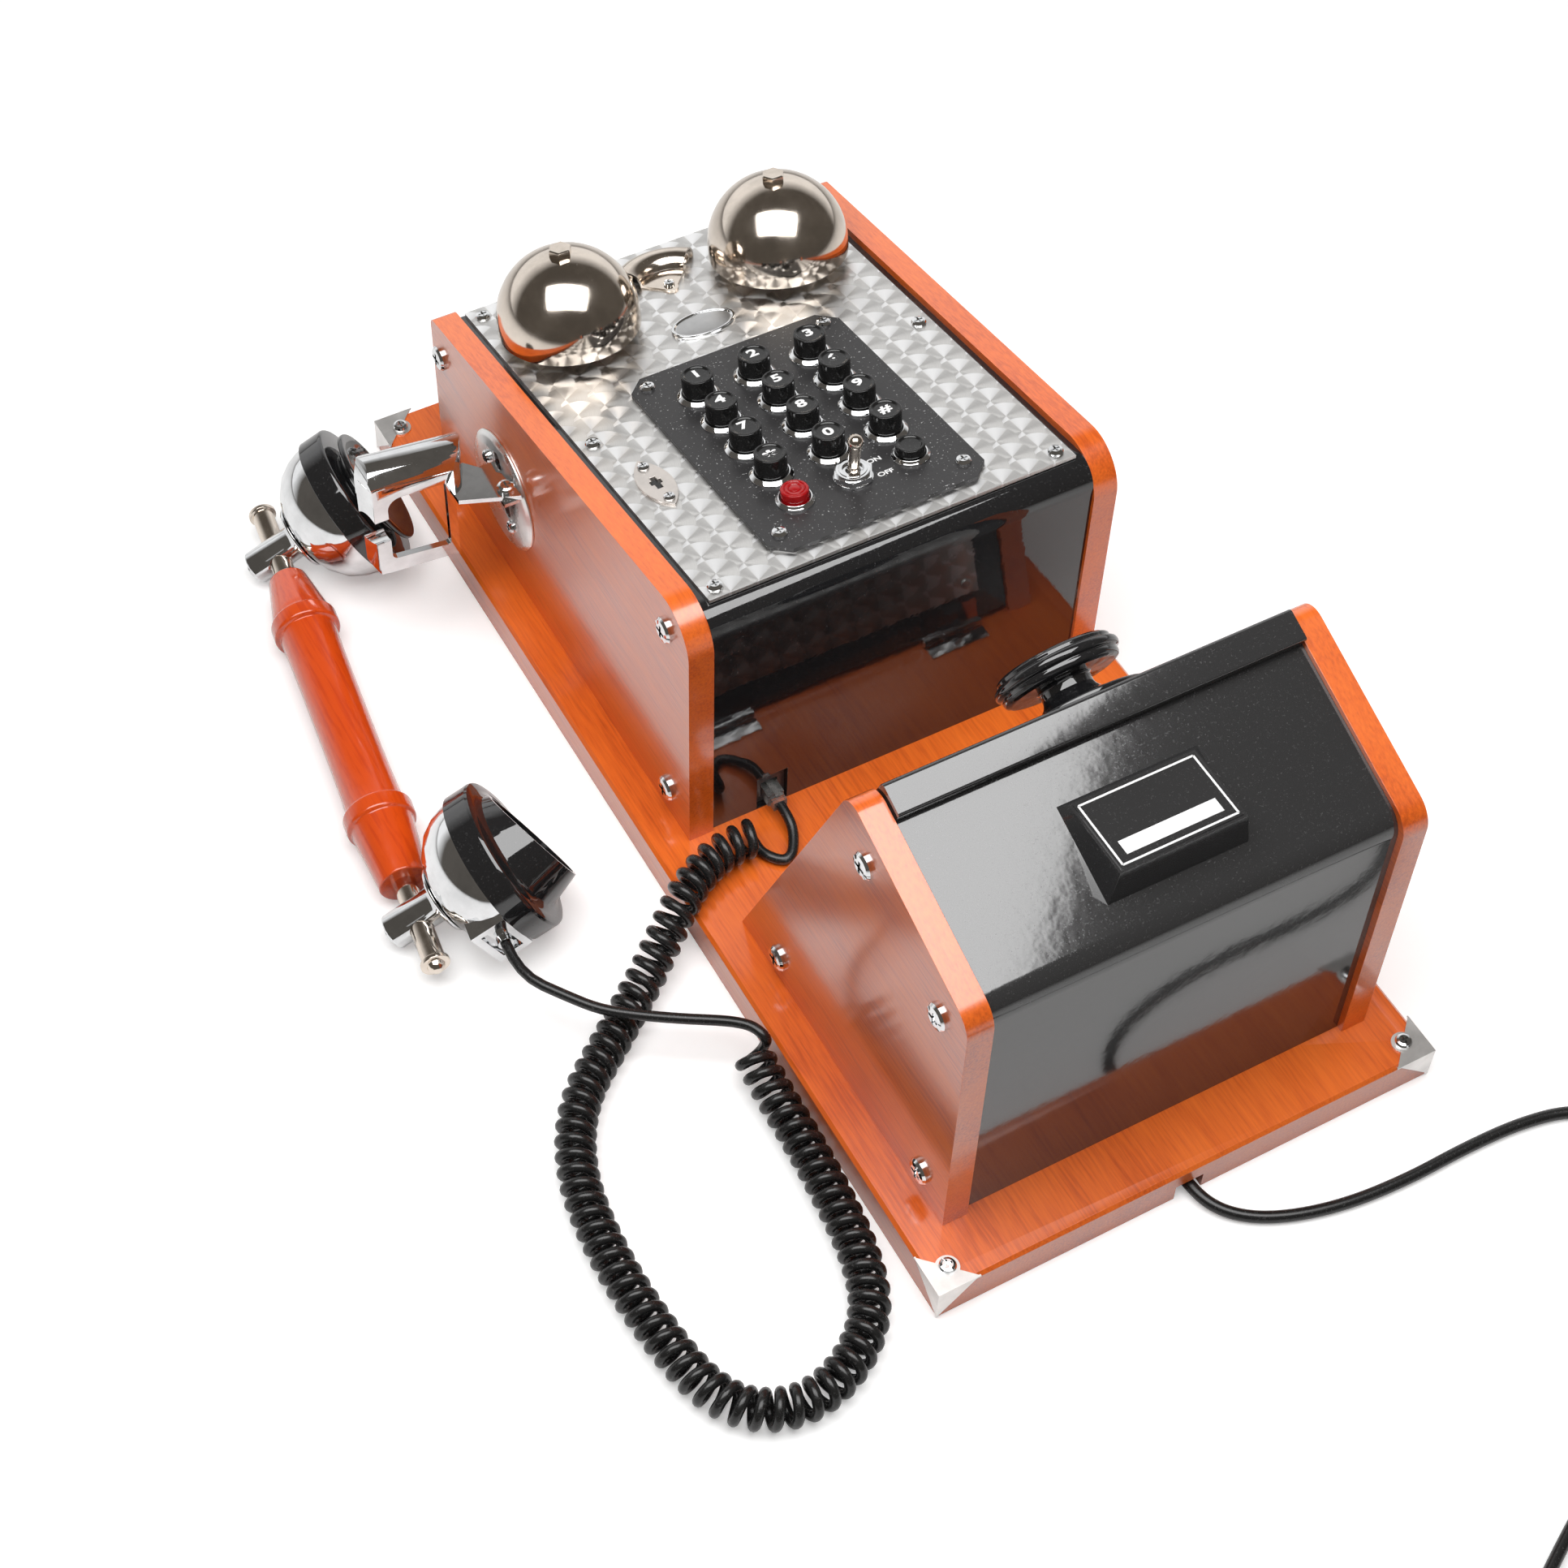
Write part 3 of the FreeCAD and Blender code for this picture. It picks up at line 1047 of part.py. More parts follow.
def make_cradle():
    """The receiver cradle: an open cast frame, a hood, a notched left wall and an arm to the hook."""
    rim = cradle_outline(CRADLE_RIM, [1, 1.2, 8, 6], CRADLE_BAR_DEPTH)
    window = cradle_outline(CRADLE_WINDOW, [1.5, 1.5, 6, 3], 40)
    left = CRADLE_RIM[2][0]
    inner = CRADLE_WINDOW[2][0]
    split = SEAT_Z
    plan = [(left, 0), (inner, 0), (inner, CRADLE_WALL_DEPTH), (left - CRADLE_FLARE, CRADLE_WALL_DEPTH)]
    upper = cradle_plan(plan, split, CRADLE_RIM[2][1])
    prong = [(left, 0), (inner, 0), (inner, CRADLE_PRONG_DEPTH), (left - CRADLE_FLARE, CRADLE_PRONG_DEPTH)]
    lower = cradle_plan(prong, CRADLE_RIM[3][1], split)
    stretch = [(x - CRADLE_FLARE if x < 0 else x + 14, z + 12 if z > 0 else z) for x, z in CRADLE_RIM]
    limit = cradle_outline(stretch, [0, 0, 15, 7], HOOD_DEPTH)
    walls = fuse_all([upper, lower, cradle_hood()]).common(limit)
    right = CRADLE_RIM[0][0]
    sweep = [
        (right - 3, 0), (right, 0), (right + 5.6, 6.5), (right + 9.4, 13.6),
        (right + 6.2, 14.8), (right + 2.4, 8), (right - 3, 3),
    ]
    web = cradle_plan(sweep, TAB_TOP_Z - CRADLE_Z, CRADLE_RIM[1][1] + 1)
    frame = fuse_all([rim, walls, web]).cut(window)
    arm = prism([(HOOK_SCREW_X + 4.1, 124.5), (HOOK_SCREW_X + 4.1, 138.5), (-118.8, 154.5), (-127.9, 152.5),
                 (-130.4, 147.0), (-130.0, 134.5)], TAB_TOP_Z, TAB_TOP_Z + ARM_THICK)
    shape = fuse_all([frame, arm]).cut(seat_tool())
    return shape.cut(placed(hole(HOOK_SCREW, TAB_TOP_Z - 1, TAB_TOP_Z + 5), at(HOOK_SCREW_X, HOOK_SCREW_Y)))


def make_circuit_board():
    """The circuit board behind the keys, with a push switch under each button."""
    sheet_top = BOARD_SHEET_N + BOARD_SHEET_THICK
    half = KEY_A[2] + BOARD_SHEET_MARGIN
    low = LOW_ROW_S - BOARD_SHEET_MARGIN
    high = KEY_S[0] + BOARD_SHEET_MARGIN
    shapes = [block(-half, half, low, high, BOARD_SHEET_N, sheet_top)]
    places = [(a, s) for name, a, s in key_places()] + [(KEY_A[2], LOW_ROW_S)]
    for a, s in places:
        shapes.append(block(a - 3, a + 3, s - 3, s + 3, sheet_top, KEY_SWITCH_TOP_N))
    behind = PLATE_TOP_N - PLATE_THICK - SHELL_WALL
    for a in (4 - half, half - 4):
        for s in (low + 8, (low + high) / 2, high - 8):
            shapes.append(disc(2.5, sheet_top, behind, a, s))
    return placed(fuse_all(shapes), FRONT)


def make_jack():
    """The modular jack behind the end wall, open towards the plug."""
    end = CASE_LOW_Y + CASE_END_INSET + SHELL_WALL
    jack = block(JACK_X - 9.5, JACK_X + 9.5, end, end + JACK_DEPTH, BOARD_THICK, JACK_HIGH_Z + 1)
    half = PLUG_WIDTH / 2 + 0.2
    tall = PLUG_HEIGHT / 2 + 0.2
    low = PLUG_Z - tall
    high = PLUG_Z + tall + 2
    return jack.cut(block(JACK_X - half, JACK_X + half, end - 1, PLUG_IN_Y + 1, low, high))


def make_plug():
    """The handset cord's clear modular plug with its latch."""
    half = PLUG_WIDTH / 2
    tall = PLUG_HEIGHT / 2
    body = block(JACK_X - half, JACK_X + half, PLUG_OUT_Y + 4, PLUG_IN_Y, PLUG_Z - tall, PLUG_Z + tall)
    neck = block(JACK_X - 3.2, JACK_X + 3.2, PLUG_OUT_Y, PLUG_OUT_Y + 4, PLUG_Z - 2.6, PLUG_Z + 2.6)
    latch = prism([(PLUG_OUT_Y + 1, 4.6), (PLUG_OUT_Y + 1, 5.6), (PLUG_IN_Y - 2, tall + 0.9),
                   (PLUG_IN_Y - 2, tall - 0.2), (PLUG_IN_Y - 5, tall - 0.2)], -1.6, 1.6)
    axes = Rotation(Vector(0, 1, 0), Vector(0, 0, 1), Vector(1, 0, 0), "ZXY")
    turn = Placement(Vector(JACK_X, 0, PLUG_Z), axes)
    return fuse_all([body, neck, placed(latch, turn)])


def make_box_panels():
    """The lower box's two wood sides."""
    inner = PANEL_OUTER_X - BOX_PANEL_THICK
    right = side_solid(box_profile(0, 0, 0), [0, BOX_CORNER_R, RIDGE_R, 0], inner, PANEL_OUTER_X)
    right = cut_all(right, bolt_tools(BOX_BOLTS, inner - 1, PANEL_OUTER_X + 1))
    return both_sides(right)


def make_box_shell():
    """The lower box's black shell, open at the board and under the lid."""
    half = PANEL_OUTER_X - BOX_PANEL_THICK
    outer = box_profile(BOX_END_INSET, BOX_FRONT_INSET, BOX_BACK_INSET)
    wall = SHELL_WALL
    inner = box_profile(BOX_END_INSET + wall, BOX_FRONT_INSET + wall, BOX_BACK_INSET + wall)
    drop = (inner[3][0] + BOARD_THICK / math.tan(math.radians(LID_ANGLE)), 0)
    inner = [(inner[0][0], 0), inner[1], inner[2], drop]
    shell = side_solid(outer, [0, BOX_CORNER_R - 1, 2, 0], -half, half)
    shell = shell.cut(side_solid(inner, [0, BOX_CORNER_R - 4, 1, 0], wall - half, half - wall))
    low = LID_PLATE_LOW + LID_MOUTH_SHIFT
    high = LID_PLATE_HIGH + LID_MOUTH_SHIFT
    mouth = placed(block(-LID_MOUTH_HALF, LID_MOUTH_HALF, low, high, -16, 4), LID)
    shell = shell.cut(mouth)
    shelf = block(GROOVE_X - 6, GROOVE_X + 6, BOX_LOW_Y + BOX_END_INSET + 1, CORD_HOLE_Y + 5, CORD_SHELF_Z,
                  CORD_SHELF_Z + wall)
    shell = fuse_all([shell, shelf])
    return cut_all(shell, bolt_tools(BOX_BOLTS, -half - 1, half + 1))


def make_lid():
    """The hinged lid, folded over the ridge to a lip on the front slope."""
    front_point, front, back_point, back = box_lines(-LIP_PROUD, LID_OUTER_INSET)
    outer_ridge = meet(front_point, front, back_point, back)
    front_point, front, back_point, back = box_lines(LIP_INSET, LID_INNER_INSET)
    inner_ridge = meet(front_point, front, back_point, back)
    spots = [SLOPE.multVec(Vector(0, LIP_LOW_S, n)) for n in (LIP_PROUD, -LIP_INSET)]
    ends = [LID.multVec(Vector(0, LID_LENGTH, -LID_INNER_INSET)),
            LID.multVec(Vector(0, LID_LENGTH, -LID_OUTER_INSET))]
    points = [(spot.y, spot.z) for spot in spots] + [inner_ridge] + [(end.y, end.z) for end in ends]
    points.append(outer_ridge)
    half = PANEL_OUTER_X - BOX_PANEL_THICK - BOX_SIDE_GAP
    lid = side_solid(points, [1, 0, 0, 0, 0, 2], -half, half)
    start = Vector(-half - 1, PIN_Y, PIN_Z)
    knuckle = Part.makeCylinder(KNUCKLE_R + SLIDE_GAP, 2 * half + 2, start, Vector(1, 0, 0))
    tools = [knuckle]
    for a, s in lid_screw_places():
        tools.append(placed(hole(TRIM_SCREW, -LID_INNER_INSET - 1, 1), LID.multiply(at(a, s))))
    return cut_all(lid, tools)


def lid_screw_places():
    """Corners of the lid's plate, where its screws are."""
    across = LID_PLATE_HALF - LID_SCREW_IN
    levels = (LID_PLATE_LOW + LID_SCREW_IN, LID_PLATE_HIGH - LID_SCREW_IN)
    return [(side * across, s) for side in (-1, 1) for s in levels]


def make_lid_plate():
    """The engine-turned plate on the lid, with its four screws."""
    base = -LID_OUTER_INSET
    top = base + LID_PLATE_THICK
    plate = block(-LID_PLATE_HALF, LID_PLATE_HALF, LID_PLATE_LOW, LID_PLATE_HIGH, base, top)
    sizes = (TRIM_SCREW[0], TRIM_SCREW[1], TRIM_SCREW[2], LID_PLATE_THICK + 2.0)
    screws = [placed(screw(sizes), at(a, s, top)) for a, s in lid_screw_places()]
    return placed(fuse_all([plate] + screws), LID)


def make_knob():
    """The lid's turned knob: flared foot, neck and ribbed disc."""
    foot = LID_PLATE_THICK - LID_OUTER_INSET
    profile = (
        (0, foot), (KNOB_BASE_R, foot), (KNOB_BASE_R, foot + 1.6), (KNOB_BASE_R - 2, foot + 2.8),
        (18, foot + 3.8), (13, foot + 5.4), (KNOB_NECK_R, foot + 8), (KNOB_NECK_R, 12.6), (KNOB_R - 4, 12.6),
        (KNOB_R - 2.2, 13.4), (KNOB_R - 1.6, 15), (KNOB_R - 2, 16.4), (KNOB_R - 0.4, 17),
        (KNOB_R, 18.6), (KNOB_R - 0.6, 20.2), (KNOB_R - 2.4, 20.8), (KNOB_R - 2.2, 22.4), (KNOB_R - 4, 23.6),
        (KNOB_R - 8, 24), (0, 24),
    )
    return placed(turned(profile), LID.multiply(at(KNOB_A, KNOB_S)))


def knuckle_piece(centre, offset, length, radius):
    """A length of hinge barrel along X."""
    start = Vector(centre + offset, PIN_Y, PIN_Z)
    return Part.makeCylinder(radius, length, start, Vector(1, 0, 0))


def make_hinge_leaves():
    """The board's hinge leaves, each with its middle knuckle and the pin."""
    leaves = []
    third = HINGE_LENGTH / 3
    for side in (-1, 1):
        centre = side * HINGE_X
        leaf = block(centre - HINGE_LENGTH / 2, centre + HINGE_LENGTH / 2, PIN_Y + KNUCKLE_R + SLIDE_GAP,
                     PIN_Y + HINGE_LEAF, BOARD_THICK, BOARD_THICK + HINGE_LEAF_THICK)
        tongue = block(centre - third / 2 + 0.2, centre + third / 2 - 0.2, PIN_Y, PIN_Y + HINGE_LEAF,
                       BOARD_THICK, BOARD_THICK + HINGE_LEAF_THICK)
        barrel = knuckle_piece(centre, 0.2 - third / 2, third - 0.4, KNUCKLE_R)
        pin = knuckle_piece(centre, -HINGE_LENGTH / 2, HINGE_LENGTH, PIN_R)
        leaves.append(fuse_all([leaf, tongue, barrel, pin]))
    return leaves


def make_lid_leaves():
    """The lid's hinge leaves, each with its two outer knuckles."""
    leaves = []
    third = HINGE_LENGTH / 3
    low = LID_LENGTH - HINGE_LEAF - 2
    base = -LID_OUTER_INSET
    for side in (-1, 1):
        centre = side * HINGE_X
        shapes = []
        for end in (-1, 1):
            middle = end * third
            first = centre + middle - third / 2 + 0.1
            strap = block(first, first + third - 0.2, low, LID_LENGTH - 0.5, base, base + HINGE_LEAF_THICK)
            strap = placed(strap, LID)
            barrel = knuckle_piece(centre, middle - third / 2 + 0.1, third - 0.2, KNUCKLE_R)
            shapes += [strap, barrel]
        tie = placed(block(centre - HINGE_LENGTH / 2 + 0.1, centre + HINGE_LENGTH / 2 - 0.1, low, low + 4,
                           base, base + HINGE_LEAF_THICK), LID)
        bore = knuckle_piece(centre, -HINGE_LENGTH, 2 * HINGE_LENGTH, PIN_R + PIN_GAP)
        leaves.append(fuse_all(shapes + [tie]).cut(bore))
    return leaves


def make_name_block():
    """The wedge block with its bare name plate."""
    back = SLOPE.multVec(Vector(0, 61, -BOX_FRONT_INSET))
    along = (BLOCK_LOW_Y - BOX_LOW_Y) / math.cos(math.radians(SLOPE_ANGLE))
    front = SLOPE.multVec(Vector(0, along, -BOX_FRONT_INSET))
    lower = [Vector(side * BLOCK_HALF, y, z) for y, z, side in (
        (front.y, front.z, -1), (front.y, front.z, 1), (back.y, back.z, 1), (back.y, back.z, -1))]
    upper = [Vector(side * BLOCK_TOP_HALF, y, BLOCK_TOP_Z) for y, side in (
        (BLOCK_TOP_LOW_Y, -1), (BLOCK_TOP_LOW_Y, 1), (BLOCK_TOP_HIGH_Y, 1), (BLOCK_TOP_HIGH_Y, -1))]
    wires = [Part.makePolygon(points + points[:1]) for points in (lower, upper)]
    body = Part.makeLoft(wires, True, True)
    plate = block(1.2 - BLOCK_TOP_HALF, BLOCK_TOP_HALF - 1.2, BLOCK_TOP_LOW_Y + 1.2, BLOCK_TOP_HIGH_Y - 1.2,
                  BLOCK_TOP_Z - 0.1, BLOCK_TOP_Z + NAME_PLATE_THICK)
    return fuse_all([body, plate])


def make_handle():
    """The turned wood handle, bored for the rod."""
    end = HANDSET_SPAN - HANDLE_START
    bore = ROD_R + SCREW_GAP
    mouth_bead = 54.7
    ear_bead = 170.7
    profile = (
        (bore, HANDLE_START), (10.8, HANDLE_START), (11.2, HANDLE_START + 1), (13.6, mouth_bead - 9),
        (14.0, mouth_bead - 6), (14.0, mouth_bead - 5), (15.4, mouth_bead - 4), (15.8, mouth_bead),
        (15.2, mouth_bead + 3.6), (13.2, mouth_bead + 4), (12.7, 75), (12.5, 112), (12.6, 150),
        (13.0, ear_bead - 4), (15.0, ear_bead - 3.6), (15.6, ear_bead), (15.2, ear_bead + 4),
        (13.6, ear_bead + 5), (13.4, ear_bead + 8), (9.0, end - 1), (8.5, end), (bore, end),
    )
    return placed(turned(profile), ROD)


def make_rod():
    """The rod through the handle and both arms, with a flanged acorn nut at each end."""
    low = -ROD_OVERHANG
    high = HANDSET_SPAN + ROD_OVERHANG
    profile = (
        (0, low - 4.6), (1.8, low - 4.2), (3.2, low - 2.8), (4.0, low - 1), (6.4, low - 0.8), (6.4, low + 1),
        (ROD_R, low + 1.4), (ROD_R, high - 1.4), (6.4, high - 1), (6.4, high + 0.8), (4.0, high + 1),
        (3.2, high + 2.8), (1.8, high + 4.2), (0, high + 4.6),
    )
    return placed(turned(profile), ROD)


def make_arms():
    """The two chrome arms that carry the ear and mouth cups."""
    profile = (
        (0, -ARM_TAIL - 2.2), (2.6, -ARM_TAIL - 2), (3.4, -ARM_TAIL), (ARM_R - 0.8, -ARM_TAIL),
        (ARM_R, -ARM_TAIL + 0.8), (ARM_R, ARM_FLANGE - 5), (ARM_R + 1.6, ARM_FLANGE - 2.5),
        (ARM_FLANGE_R - 0.8, ARM_FLANGE - 1.8), (ARM_FLANGE_R, ARM_FLANGE - 0.9), (ARM_FLANGE_R, ARM_FLANGE),
        (0, ARM_FLANGE),
    )
    arm = turned(profile)
    bore = Part.makeCylinder(ROD_R + SCREW_GAP, 60, Vector(-30, 0, 0), Vector(1, 0, 0))
    arm = arm.cut(bore)
    return [placed(arm, MOUTH), placed(arm, EAR)]


def make_cups():
    """The two chrome cups; the mouth one has the cord's outlet box."""
    outer = ((12.0, ARM_FLANGE), (15.0, ARM_FLANGE + 0.2), (21.6, 18.0), (28.0, 23.7), (31.6, 30.0),
             (33.2, 35.5), (33.4, RING_BACK))
    inner = ((33.4 - CUP_WALL, RING_BACK), (33.2 - CUP_WALL, 35.5), (30.2, 30.6), (26.8, 24.8), (20.6, 19.4),
             (15.0, ARM_FLANGE + CUP_WALL), (0, ARM_FLANGE + CUP_WALL), (0, ARM_FLANGE))
    cup = turned(outer + inner)
    box = block(-CORD_BOX_H, -25.5, -12.5, 12.5, 22.5, RING_BACK)
    high = RING_BACK + 1
    hollow = turned(((0, ARM_FLANGE - 5), (28.0, 21.0), (31.2, 30.0), (32.0, high), (0, high)))
    box = box.cut(hollow)
    window = block(-36, -24, -9.5, 9.5, 26.0, 35.8)
    mouth_end = Vector(-CORD_BOX_H, CORD_EXIT_K, CORD_EXIT_E)
    grommet = Part.makeCylinder(CORD_GROMMET_R, 4, mouth_end, Vector(1, 0, 0))
    backing = block(-31.5, -29.5, -11, 11, 24.5, 37)
    mouth = fuse_all([fuse_all([cup, box]).cut(window), backing, grommet])
    return [placed(mouth, MOUTH), placed(cup, EAR)]


def cap_ring():
    """Profile points of the broad ring that both caps have, from its seat to its front edge."""
    return (
        (0, RING_BACK + 3), (RING_R - 3.4, RING_BACK + 3), (RING_R - 3.4, RING_BACK), (RING_R, RING_BACK),
        (RING_R, RING_FRONT - 1.6), (RING_R - 0.5, RING_FRONT - 0.5), (RING_R - 1.6, RING_FRONT),
    )


def make_ear_cap():
    """The ear cap: a broad ring, a grooved neck and a flared ear plate with a hollow front."""
    plate = RING_FRONT + EAR_PLATE_RISE
    profile = cap_ring() + (
        (24, RING_FRONT + 0.5), (EAR_NECK_R + 1, RING_FRONT + 0.9), (EAR_NECK_R, RING_FRONT + 1.8),
        (EAR_NECK_R, plate - 1.4), (EAR_NECK_R + 1.2, plate - 0.6), (EAR_PLATE_R - 0.8, plate),
        (EAR_PLATE_R, plate + 0.8), (EAR_PLATE_R, plate + 1.6), (EAR_PLATE_R - 0.8, plate + 2.3),
        (EAR_PLATE_R - 2.6, plate + 2.3), (14, plate + 1.2), (0, plate + 0.8),
    )
    return placed(turned(profile), EAR)


def horn_radius(height):
    """The horn's outer radius at a height along the arm."""
    return HORN_FOOT_R - HORN_TAPER * (height - HORN_FOOT_N)


def make_mouth_cap():
    """The mouth cap: a broad ring and a tapered horn with a slanted lip, open to the front."""
    floor = RING_FRONT + 0.6
    profile = cap_ring() + (
        (31, RING_FRONT + 0.2), (28.8, RING_FRONT + 0.7), (horn_radius(HORN_FOOT_N), HORN_FOOT_N),
        (horn_radius(HORN_TOP_N), HORN_TOP_N), (0, HORN_TOP_N),
    )
    cave = turned((
        (0, floor), (horn_radius(floor) - HORN_WALL, floor),
        (horn_radius(HORN_TOP_N + 1) - HORN_WALL, HORN_TOP_N + 1), (0, HORN_TOP_N + 1),
    ))
    lean = Placement(Vector(HORN_LIP_H, 0, HORN_LIP_N), Rotation(Vector(0, 1, 0), HORN_LIP_ANGLE))
    slicer = placed(block(-120, 6, -60, 60, 0, 80), lean)
    return placed(cut_all(turned(profile), [cave, slicer]), MOUTH)


def biarc(start, start_dir, end, end_dir):
    """Two arcs that join smoothly between two points with given directions."""
    gap = end - start
    total = start_dir + end_dir
    along = gap.dot(total)
    fold = 2 * (1 - start_dir.dot(end_dir))
    reach = (math.sqrt(along * along + fold * gap.dot(gap)) - along) / fold
    joint = (start + start_dir * reach + end - end_dir * reach) * 0.5
    return [arc_from(start, start_dir, joint), arc_from(end, end_dir * -1, joint)]


def arc_from(start, direction, end):
    """An arc that leaves its start along a direction, always drawn to its end."""
    chord = end - start
    unit = Vector(chord).normalize()
    side = direction - unit * direction.dot(unit)
    bend = math.atan2(side.Length, direction.dot(unit))
    middle = (start + end) * 0.5 + side.normalize() * (chord.Length / 2 * math.tan(bend / 2))
    return Part.Arc(start, middle, end).toShape()


def tube(edges, radius, start, direction):
    """A round tube along joined edges."""
    path = Part.Wire(Part.__sortEdges__(edges))
    circle = Part.Wire([Part.Circle(start, direction, radius).toShape()])
    shell = Part.BRepOffsetAPI.MakePipeShell(path)
    shell.add(circle)
    shell.build()
    shell.makeSolid()
    return shell.shape(), path.Length


def report(name, solid, radius, length):
    """Print a tube's volume against its section times its length."""
    ratio = solid.Volume / (math.pi * radius * radius * length)
    print(name, "valid", solid.isValid(), "length", round(length, 1), "volume ratio", round(ratio, 4))


def routed_tube(name, points, radius):
    """A tube on straight runs and tangent arcs through route points, its radii printed."""
    spots = [Vector(x, y, z) for x, y, z in points]
    edges = []
    radii = []
    last = spots[0]
    for before, corner, after in zip(spots, spots[1:], spots[2:]):
        shorter = min((corner - before).Length, (after - corner).Length)
        back = (before - corner).normalize()
        onward = (after - corner).normalize()
        half = back.getAngle(onward) / 2
        reach = 0.45 * shorter
        bend = reach * math.tan(half)
        radii.append(round(bend, 1))
        entry = corner + back * reach
        leave = corner + onward * reach
        middle = corner + (back + onward).normalize() * (bend / math.sin(half) - bend)
        edges.append(Part.LineSegment(last, entry).toShape())
        edges.append(Part.Arc(entry, middle, leave).toShape())
        last = leave
    edges.append(Part.LineSegment(last, spots[-1]).toShape())
    solid, length = tube(edges, radius, spots[0], spots[1] - spots[0])
    print(name, "radii", radii)
    report(name, solid, radius, length)
    return solid


def least_gap(points, turn_points, radius):
    """The least gap between tube points more than half a turn apart."""
    least = 1000.0
    for index, point in enumerate(points):
        for other in points[index + turn_points // 2:index + 3 * turn_points]:
            least = min(least, point.distanceToPoint(other))
    return least - 2 * radius


def wound_tube(name, place, turns, radius, stubs, steps_per_turn=2):
    """A tube on biarcs along a winding function of the turn count, with two straight ends.

    The last two values are each end's point and its direction along the winding.
    """
    count = round(turns * steps_per_turn)
    step = turns / count
    nudge = 0.001
    spots = [place(index * step) for index in range(count + 1)]
    directions = [(place(index * step + nudge) - place(index * step - nudge)).normalize()
                  for index in range(count + 1)]
    start = spots[0] - directions[0] * stubs[0]
    end = spots[-1] + directions[-1] * stubs[1]
    edges = [Part.LineSegment(start, spots[0]).toShape()]
    for index in range(count):
        edges += biarc(spots[index], directions[index], spots[index + 1], directions[index + 1])
    edges.append(Part.LineSegment(spots[-1], end).toShape())
    solid, length = tube(edges, radius, start, directions[0])
    samples = []
    for edge in Part.__sortEdges__(edges):
        samples += edge.discretize(7)[:-1]
    print(name, "turns", turns, "least gap", round(least_gap(samples, 24, radius), 2))
    report(name, solid, radius, length)
    return solid, (start, directions[0]), (end, directions[-1])


def curl_place():
    """The curls' winding: a point of the helix for a count of turns, and the number of turns."""
    route = Part.BSplineCurve()
    route.interpolate([Vector(x, y, z) for x, y, z in CURL_ROUTE])
    length = route.length()
    turns = round(length / CURL_PITCH) + CURL_EXTRA_TURN

    def place(turn):
        distance = min(max(turn / turns, -0.01), 1.01) * length
        inside = min(max(distance, 0.0), length)
        parameter = route.parameterAtDistance(inside, route.FirstParameter)
        along = Vector(route.tangent(parameter)[0]).normalize()
        centre = route.value(parameter) + along * (distance - inside)
        side = along.cross(Vector(0, 0, 1)).normalize()
        up = side.cross(along)
        angle = 2 * math.pi * turn + math.pi / 2
        return centre + up * (CURL_R * math.cos(angle)) - side * (CURL_R * math.sin(angle))

    return place, turns


def coil_place(turn):
    """The put-away coil's winding: in along the top layer, down, and out along the lower one."""
    pitch = 2 * LINE_CORD_R + COIL_SIDE_GAP
    layer = 2 * LINE_CORD_R + COIL_LAYER_GAP
    outer = COIL_MID_R + pitch * COIL_LAYER_TURNS / 2
    inner = outer - pitch * COIL_LAYER_TURNS
    turn_down = turn - COIL_LAYER_TURNS
    if turn_down < 0:
        radius = outer - pitch * turn
        height = COIL_LOW_Z + layer
    elif turn_down < 0.5:
        ease = 0.5 - 0.5 * math.cos(2 * math.pi * turn_down)
        radius = inner
        height = COIL_LOW_Z + layer * (1 - ease)
    else:
        radius = inner + pitch * (turn_down - 0.5)
        height = COIL_LOW_Z
    angle = math.pi / 2 + 2 * math.pi * turn
    return Vector(COIL_X + radius * math.cos(angle), COIL_Y + radius * math.sin(angle), height)


def make_cords():
    """The handset cord's three stretches, the line cord and its coil."""
    place, turns = curl_place()
    curls, first, last = wound_tube("handset_cord_curls", place, turns, HANDSET_CORD_R, (1.0, 1.0))
    outlet = MOUTH.multVec(Vector(-CORD_BOX_H - BODY_GAP, CORD_EXIT_K, CORD_EXIT_E))
    away = MOUTH.multVec(Vector(-CORD_BOX_H - 16.4, CORD_EXIT_K, CORD_EXIT_E))
    lead_points = [tuple(outlet), tuple(away)] + list(LEAD_ROUTE)
    lead_points += [tuple(first[0] - first[1] * reach) for reach in (LEAD_DROP, CORD_END_GAP)]
    lead = routed_tube("handset_cord_lead", lead_points, HANDSET_CORD_R)
    plug_end = (JACK_X, PLUG_OUT_Y - CORD_END_GAP, PLUG_Z)
    tail_points = [tuple(last[0] + last[1] * reach) for reach in (CORD_END_GAP, TAIL_DROP)]
    tail = routed_tube("handset_cord_tail", tail_points + list(TAIL_ROUTE) + [plug_end], HANDSET_CORD_R)
    coil_turns = 2 * COIL_LAYER_TURNS + 0.5
    coil, coil_start, coil_end = wound_tube("line_cord_coil", coil_place, coil_turns, LINE_CORD_R,
                                            (2 * LINE_CORD_R, COIL_END_RUN), 4)
    joint = coil_start[0] - coil_start[1] * CORD_END_GAP
    line = routed_tube("line_cord", list(LINE_ROUTE) + [tuple(joint)], LINE_CORD_R)
    print("curls from", first, "to", last, "coil from", coil_start, "to", coil_end)
    plug_end = coil_end[0] + coil_end[1] * CORD_END_GAP
    return {
        "handset_cord_lead": lead, "handset_cord_curls": curls, "handset_cord_tail": tail,
        "line_cord": line, "line_cord_coil": coil, "line_plug": make_line_plug(plug_end),
        "coil_tie": make_coil_tie(),
    }


